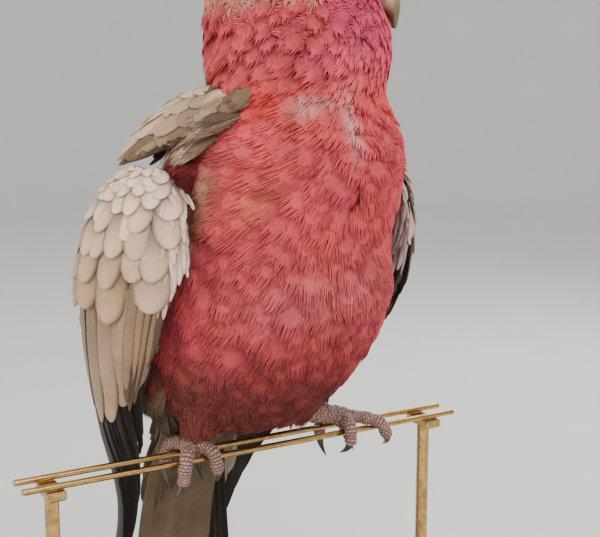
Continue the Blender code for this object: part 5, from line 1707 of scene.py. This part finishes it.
def toe_path(foot_x, reach, splay, drop, steps):
    """A toe's line: out from the foot's middle over a wire, then down beside it."""
    rise = PERCH_Z + WIRE_RADIUS + GAP + TOE_ROOT_RADIUS
    sign = math.copysign(1.0, reach)
    over = WIRE_SPREAD / 2
    clear = WIRE_RADIUS + GAP + TOE_ROOT_RADIUS
    rows = (
        (foot_x - splay * 0.12, -sign * 0.0022, rise + 0.0010),
        (foot_x + splay * 0.40, sign * over * 0.80, rise + 0.0006),
        (foot_x + splay * 0.75, sign * (over + clear * 0.80), PERCH_Z + clear * 0.72),
        (foot_x + splay * 0.92, sign * (over + clear * 1.08), PERCH_Z - clear * 0.35),
        (foot_x + splay, sign * (over + clear * 0.90), PERCH_Z - drop),
    )
    return spline(rows, np.linspace(0.0, 1.0, steps))


def scaled_tube(path, radii, sides, across, tones, rng, pitch=0.00125, relief=0.00030):
    """A toe or shank with overlapping scales: points, triangles and colours.

    The tube's radius swells along each scale and drops at its end; scales stand in rings, every other
    ring turned by half a scale, and the grooves between them are darker."""
    run = np.append(0.0, np.cumsum(np.linalg.norm(np.diff(path, axis=0), axis=1)))
    row = (run / pitch)[:, None]
    turn = np.linspace(0.0, across, sides, endpoint=False) + 0.5 * (np.floor(row) % 2)
    inside = row % 1.0
    dome = (1 - np.abs(2 * (turn % 1.0) - 1)**3) * smooth(0.0, 0.40, inside) * (1 - smooth(0.78, 1.0, inside))
    knuckle = 1.0 + 0.07 * np.sin(run / 0.0062 * 2 * np.pi)[:, None]
    radius = np.asarray(radii)[:, None] * knuckle - relief * 0.5 + relief * dome
    taper = np.sqrt(np.clip(1.0 - np.clip((row - row[-1] + 1.4) / 1.5, 0, 1)**2, 0.12, 1.0))
    points, faces = closed_body(tube_rings(path, radius * taper, sides))
    each = rng.uniform(0.82, 1.14, (int(row[-1, 0]) + 2, across + 1))
    tone = each[np.floor(row).astype(int), np.floor(turn).astype(int) % (across + 1)]
    hue = paint(evenly(tones.foot_groove, *dome.shape), tones.foot, smooth(0.15, 0.75, dome))
    return points, faces, np.clip(poled(hue * tone[..., None]), 0.0, 1.0)


class GALAH_OT_feet(bpy.types.Operator):
    """Model both feet with their overlapping scales, and the eight claws"""

    bl_idname = "galah.feet"
    bl_label = "Feet and claws"

    def claw(self, path, reach, tones):
        """The claw that goes on from a toe's line and bends back under the perch."""
        ahead = unit(path[-1] - path[-6])
        share = np.linspace(0.0, 1.0, 28)[:, None]
        bend = np.array((0.0, -reach, 0.0)) * CLAW_BEND
        line = path[-1] - ahead * 0.0008 + CLAW_LENGTH * (ahead * share + bend * share**2)
        radius = TOE_END_RADIUS * 0.80 * (1.0 - 0.93 * share**1.15)
        flank = 1.0 + 0.06 * np.cos(2 * np.linspace(0, 2 * np.pi, 24, endpoint=False))
        points, faces = closed_body(tube_rings(line, radius * flank, 24))
        shade = np.append(np.repeat(1.9 - 1.1 * share[:, 0], 24), (1.9, 0.8))
        return points, faces, np.clip(evenly(tones.claw, len(shade)) * shade[:, None], 0.0, 1.0)

    def execute(self, context):
        tones = context.scene.galah_head
        rng = np.random.default_rng(91)
        scaly = painted_material("foot_scales", 0.62, 1300.0, 0.35, Specular_IOR_Level=0.35)
        horn = painted_material("claw_horn", 0.38, 1100.0, 0.15, Specular_IOR_Level=0.45)
        rise = PERCH_Z + WIRE_RADIUS + GAP + TOE_ROOT_RADIUS
        for side, mirror in (("right", 1.0), ("left", -1.0)):
            foot_x, top = FOOT_X[side], np.asarray(THIGHS[side][1])
            share = np.linspace(0.0, 1.0, 60)[:, None]
            shank = top + (np.array((foot_x, 0.0004, rise + 0.0013)) - top) * (share * 1.05 - 0.12)
            parts = [scaled_tube(shank, np.linspace(0.0050, 0.0042, 60), 48, 9, tones, rng)]
            share = np.linspace(-1.0, 1.0, 30)
            palm = np.array((foot_x, 0.0, rise + 0.0002)) + PALM_REACH * share[:, None] * (0, 1, 0)
            ball = PALM_RADIUS * np.sqrt(1 - (0.97 * share)**2)
            parts.append(scaled_tube(palm, ball, 48, 11, tones, rng))
            for name, reach, splay, drop in TOES[side]:
                path = toe_path(foot_x, reach, splay * mirror, drop, 110)
                radii = np.linspace(TOE_ROOT_RADIUS, TOE_END_RADIUS, 110) * 1.04
                parts.append(scaled_tube(path, radii, 45, 9, tones, rng))
                points, faces, hue = self.claw(path, reach, tones)
                add_mesh("horn_claw_%s_%s" % (side, name), points, faces, horn,
                         ("claw_%s_%s" % (side, name),), hue)
            points, faces, hue = joined(parts)
            add_mesh("scaled_foot_" + side, points, faces, scaly, ("foot_" + side,), hue)
        return {"FINISHED"}


# ======== perch, stand and stage

class GALAH_OT_perch(bpy.types.Operator):
    """Model the two brass wires with rounded ends"""

    bl_idname = "galah.perch"
    bl_label = "Perch wires"

    def execute(self, context):
        mat = brass_material()
        x = WIRE_HALF * np.sin(np.linspace(-1.0, 1.0, 90) * np.pi / 2)
        end = np.clip((np.abs(x) - WIRE_HALF + WIRE_RADIUS * 0.8) / (WIRE_RADIUS * 0.8), 0.0, 1.0)
        radius = WIRE_RADIUS * np.sqrt(1.0 - 0.85 * end**2)
        for name, y in (("front", -WIRE_SPREAD / 2), ("back", WIRE_SPREAD / 2)):
            path = np.column_stack((x, np.full(90, y), np.full(90, PERCH_Z)))
            points, faces = closed_body(tube_rings(path, radius, 32))
            add_mesh("wire_" + name, points, faces, mat, ("perch_wire_" + name,))
        for node in ("stand_rod_left", "stand_rod_right"):
            refinish(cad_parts[node], mat)
        return {"FINISHED"}


class GALAH_OT_stand(bpy.types.Operator):
    """Give the base its satin wood"""

    bl_idname = "galah.stand"
    bl_label = "Stand"

    def execute(self, context):
        refinish(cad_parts["stand_base"], wood_material())
        return {"FINISHED"}


class GALAH_OT_stage(bpy.types.Operator):
    """Add the floor with its backdrop, the soft lights and the camera"""

    bl_idname = "galah.stage"
    bl_label = "Stage"

    def area(self, name, place, aim, size, power):
        """A soft square light turned towards a point."""
        light = bpy.data.lights.new(name, "AREA")
        light.energy, light.size = power, size
        obj = bpy.data.objects.new(name, light)
        bpy.context.scene.collection.objects.link(obj)
        obj.location = place
        heading = unit(np.asarray(aim) - np.asarray(place))
        obj.rotation_euler = (math.acos(-heading[2]), 0.0, math.atan2(heading[0], -heading[1]) + math.pi)

    def execute(self, context):
        stage = context.scene.galah_stage
        # The floor's profile: level, then a quarter circle, then upright; it is carried round the bird.
        t = np.linspace(0.0, 1.0, 60)
        reach = np.concatenate(([0.0], 2.2 + 0.9 * np.sin(t * np.pi / 2), [3.1]))
        rise = np.concatenate(([0.0], 0.9 * (1 - np.cos(t * np.pi / 2)), [3.2]))
        turn = np.linspace(0.0, 2 * np.pi, 96, endpoint=False)
        x, y = reach[1:, None] * np.cos(turn), reach[1:, None] * np.sin(turn)
        points = np.stack((x, y, np.broadcast_to(rise[1:, None], x.shape)), axis=-1).reshape(-1, 3)
        points = np.concatenate((points, ((0.0, 0.0, 0.0),)))
        rings = len(reach) - 1
        cell = np.arange(rings - 1)[:, None] * 96
        i, j = np.arange(96)[None], (np.arange(96)[None] + 1) % 96
        faces = np.concatenate((np.stack((cell + i, cell + 96 + j, cell + j), -1).reshape(-1, 3),
                                np.stack((cell + i, cell + 96 + i, cell + 96 + j), -1).reshape(-1, 3),
                                np.column_stack((np.full(96, len(points) - 1), i[0], j[0]))))
        floor = add_mesh("studio_floor", points, faces, floor_material())
        world = bpy.data.worlds.new("studio")
        context.scene.world = world
        world.use_nodes = True
        world.node_tree.nodes["Background"].inputs["Color"].default_value = (1.0, 0.98, 0.96, 1.0)
        world.node_tree.nodes["Background"].inputs["Strength"].default_value = stage.sky
        aim = (0.0, -0.02, 0.26)
        self.area("key", (-0.15, -0.95, 1.10), aim, 0.80, stage.key_power)
        self.area("fill", (-1.10, 0.10, 0.55), aim, 0.90, stage.fill_power)
        self.area("rim", (0.85, 0.45, 0.90), aim, 0.60, stage.fill_power)
        camera = bpy.data.cameras.new("camera")
        camera.lens, camera.sensor_width = stage.lens, 36.0
        camera.clip_start, camera.clip_end = 0.01, 20.0
        obj = bpy.data.objects.new("camera", camera)
        context.scene.collection.objects.link(obj)
        obj.location = stage.camera_place
        obj.rotation_euler = (math.pi / 2 - stage.camera_pitch, 0.0, stage.camera_turn)
        context.scene.camera = obj
        return {"FINISHED"}


# ======== panel and registration

OPERATORS = (GALAH_OT_skin, GALAH_OT_body_coat, GALAH_OT_head_coat, GALAH_OT_shoulders, GALAH_OT_wings,
             GALAH_OT_tail, GALAH_OT_bill, GALAH_OT_eyes, GALAH_OT_feet, GALAH_OT_perch,
             GALAH_OT_stand, GALAH_OT_stage)
SETTINGS = {
    "galah_plumage": GalahPlumageSettings, "galah_coat": GalahCoatSettings,
    "galah_wing": GalahWingSettings, "galah_head": GalahHeadSettings,
    "galah_stand": GalahStandSettings, "galah_stage": GalahStageSettings,
}


class GALAH_PT_looks(bpy.types.Panel):
    """Lists the pieces and their settings"""

    bl_idname = "GALAH_PT_looks"
    bl_label = "Galah"
    bl_space_type = "VIEW_3D"
    bl_region_type = "UI"
    bl_category = "Galah"

    def draw(self, context):
        for operator in OPERATORS:
            self.layout.operator(operator.bl_idname)
        for group in SETTINGS:
            box = self.layout.box()
            settings = getattr(context.scene, group)
            for name in settings.__annotations__:
                box.prop(settings, name)


def register():
    """Register the settings, the operators and the panel."""
    for name, group in SETTINGS.items():
        bpy.utils.register_class(group)
        setattr(bpy.types.Scene, name, PointerProperty(type=group))
    for cls in OPERATORS + (GALAH_PT_looks,):
        bpy.utils.register_class(cls)


def unregister():
    """Take back what register did."""
    for cls in (GALAH_PT_looks,) + OPERATORS[::-1]:
        bpy.utils.unregister_class(cls)
    for name, group in SETTINGS.items():
        delattr(bpy.types.Scene, name)
        bpy.utils.unregister_class(group)


def main():
    """Make every piece in order."""
    register()
    for operator in OPERATORS:
        group, name = operator.bl_idname.split(".")
        getattr(getattr(bpy.ops, group), name)()


if __name__ == "__main__":
    main()
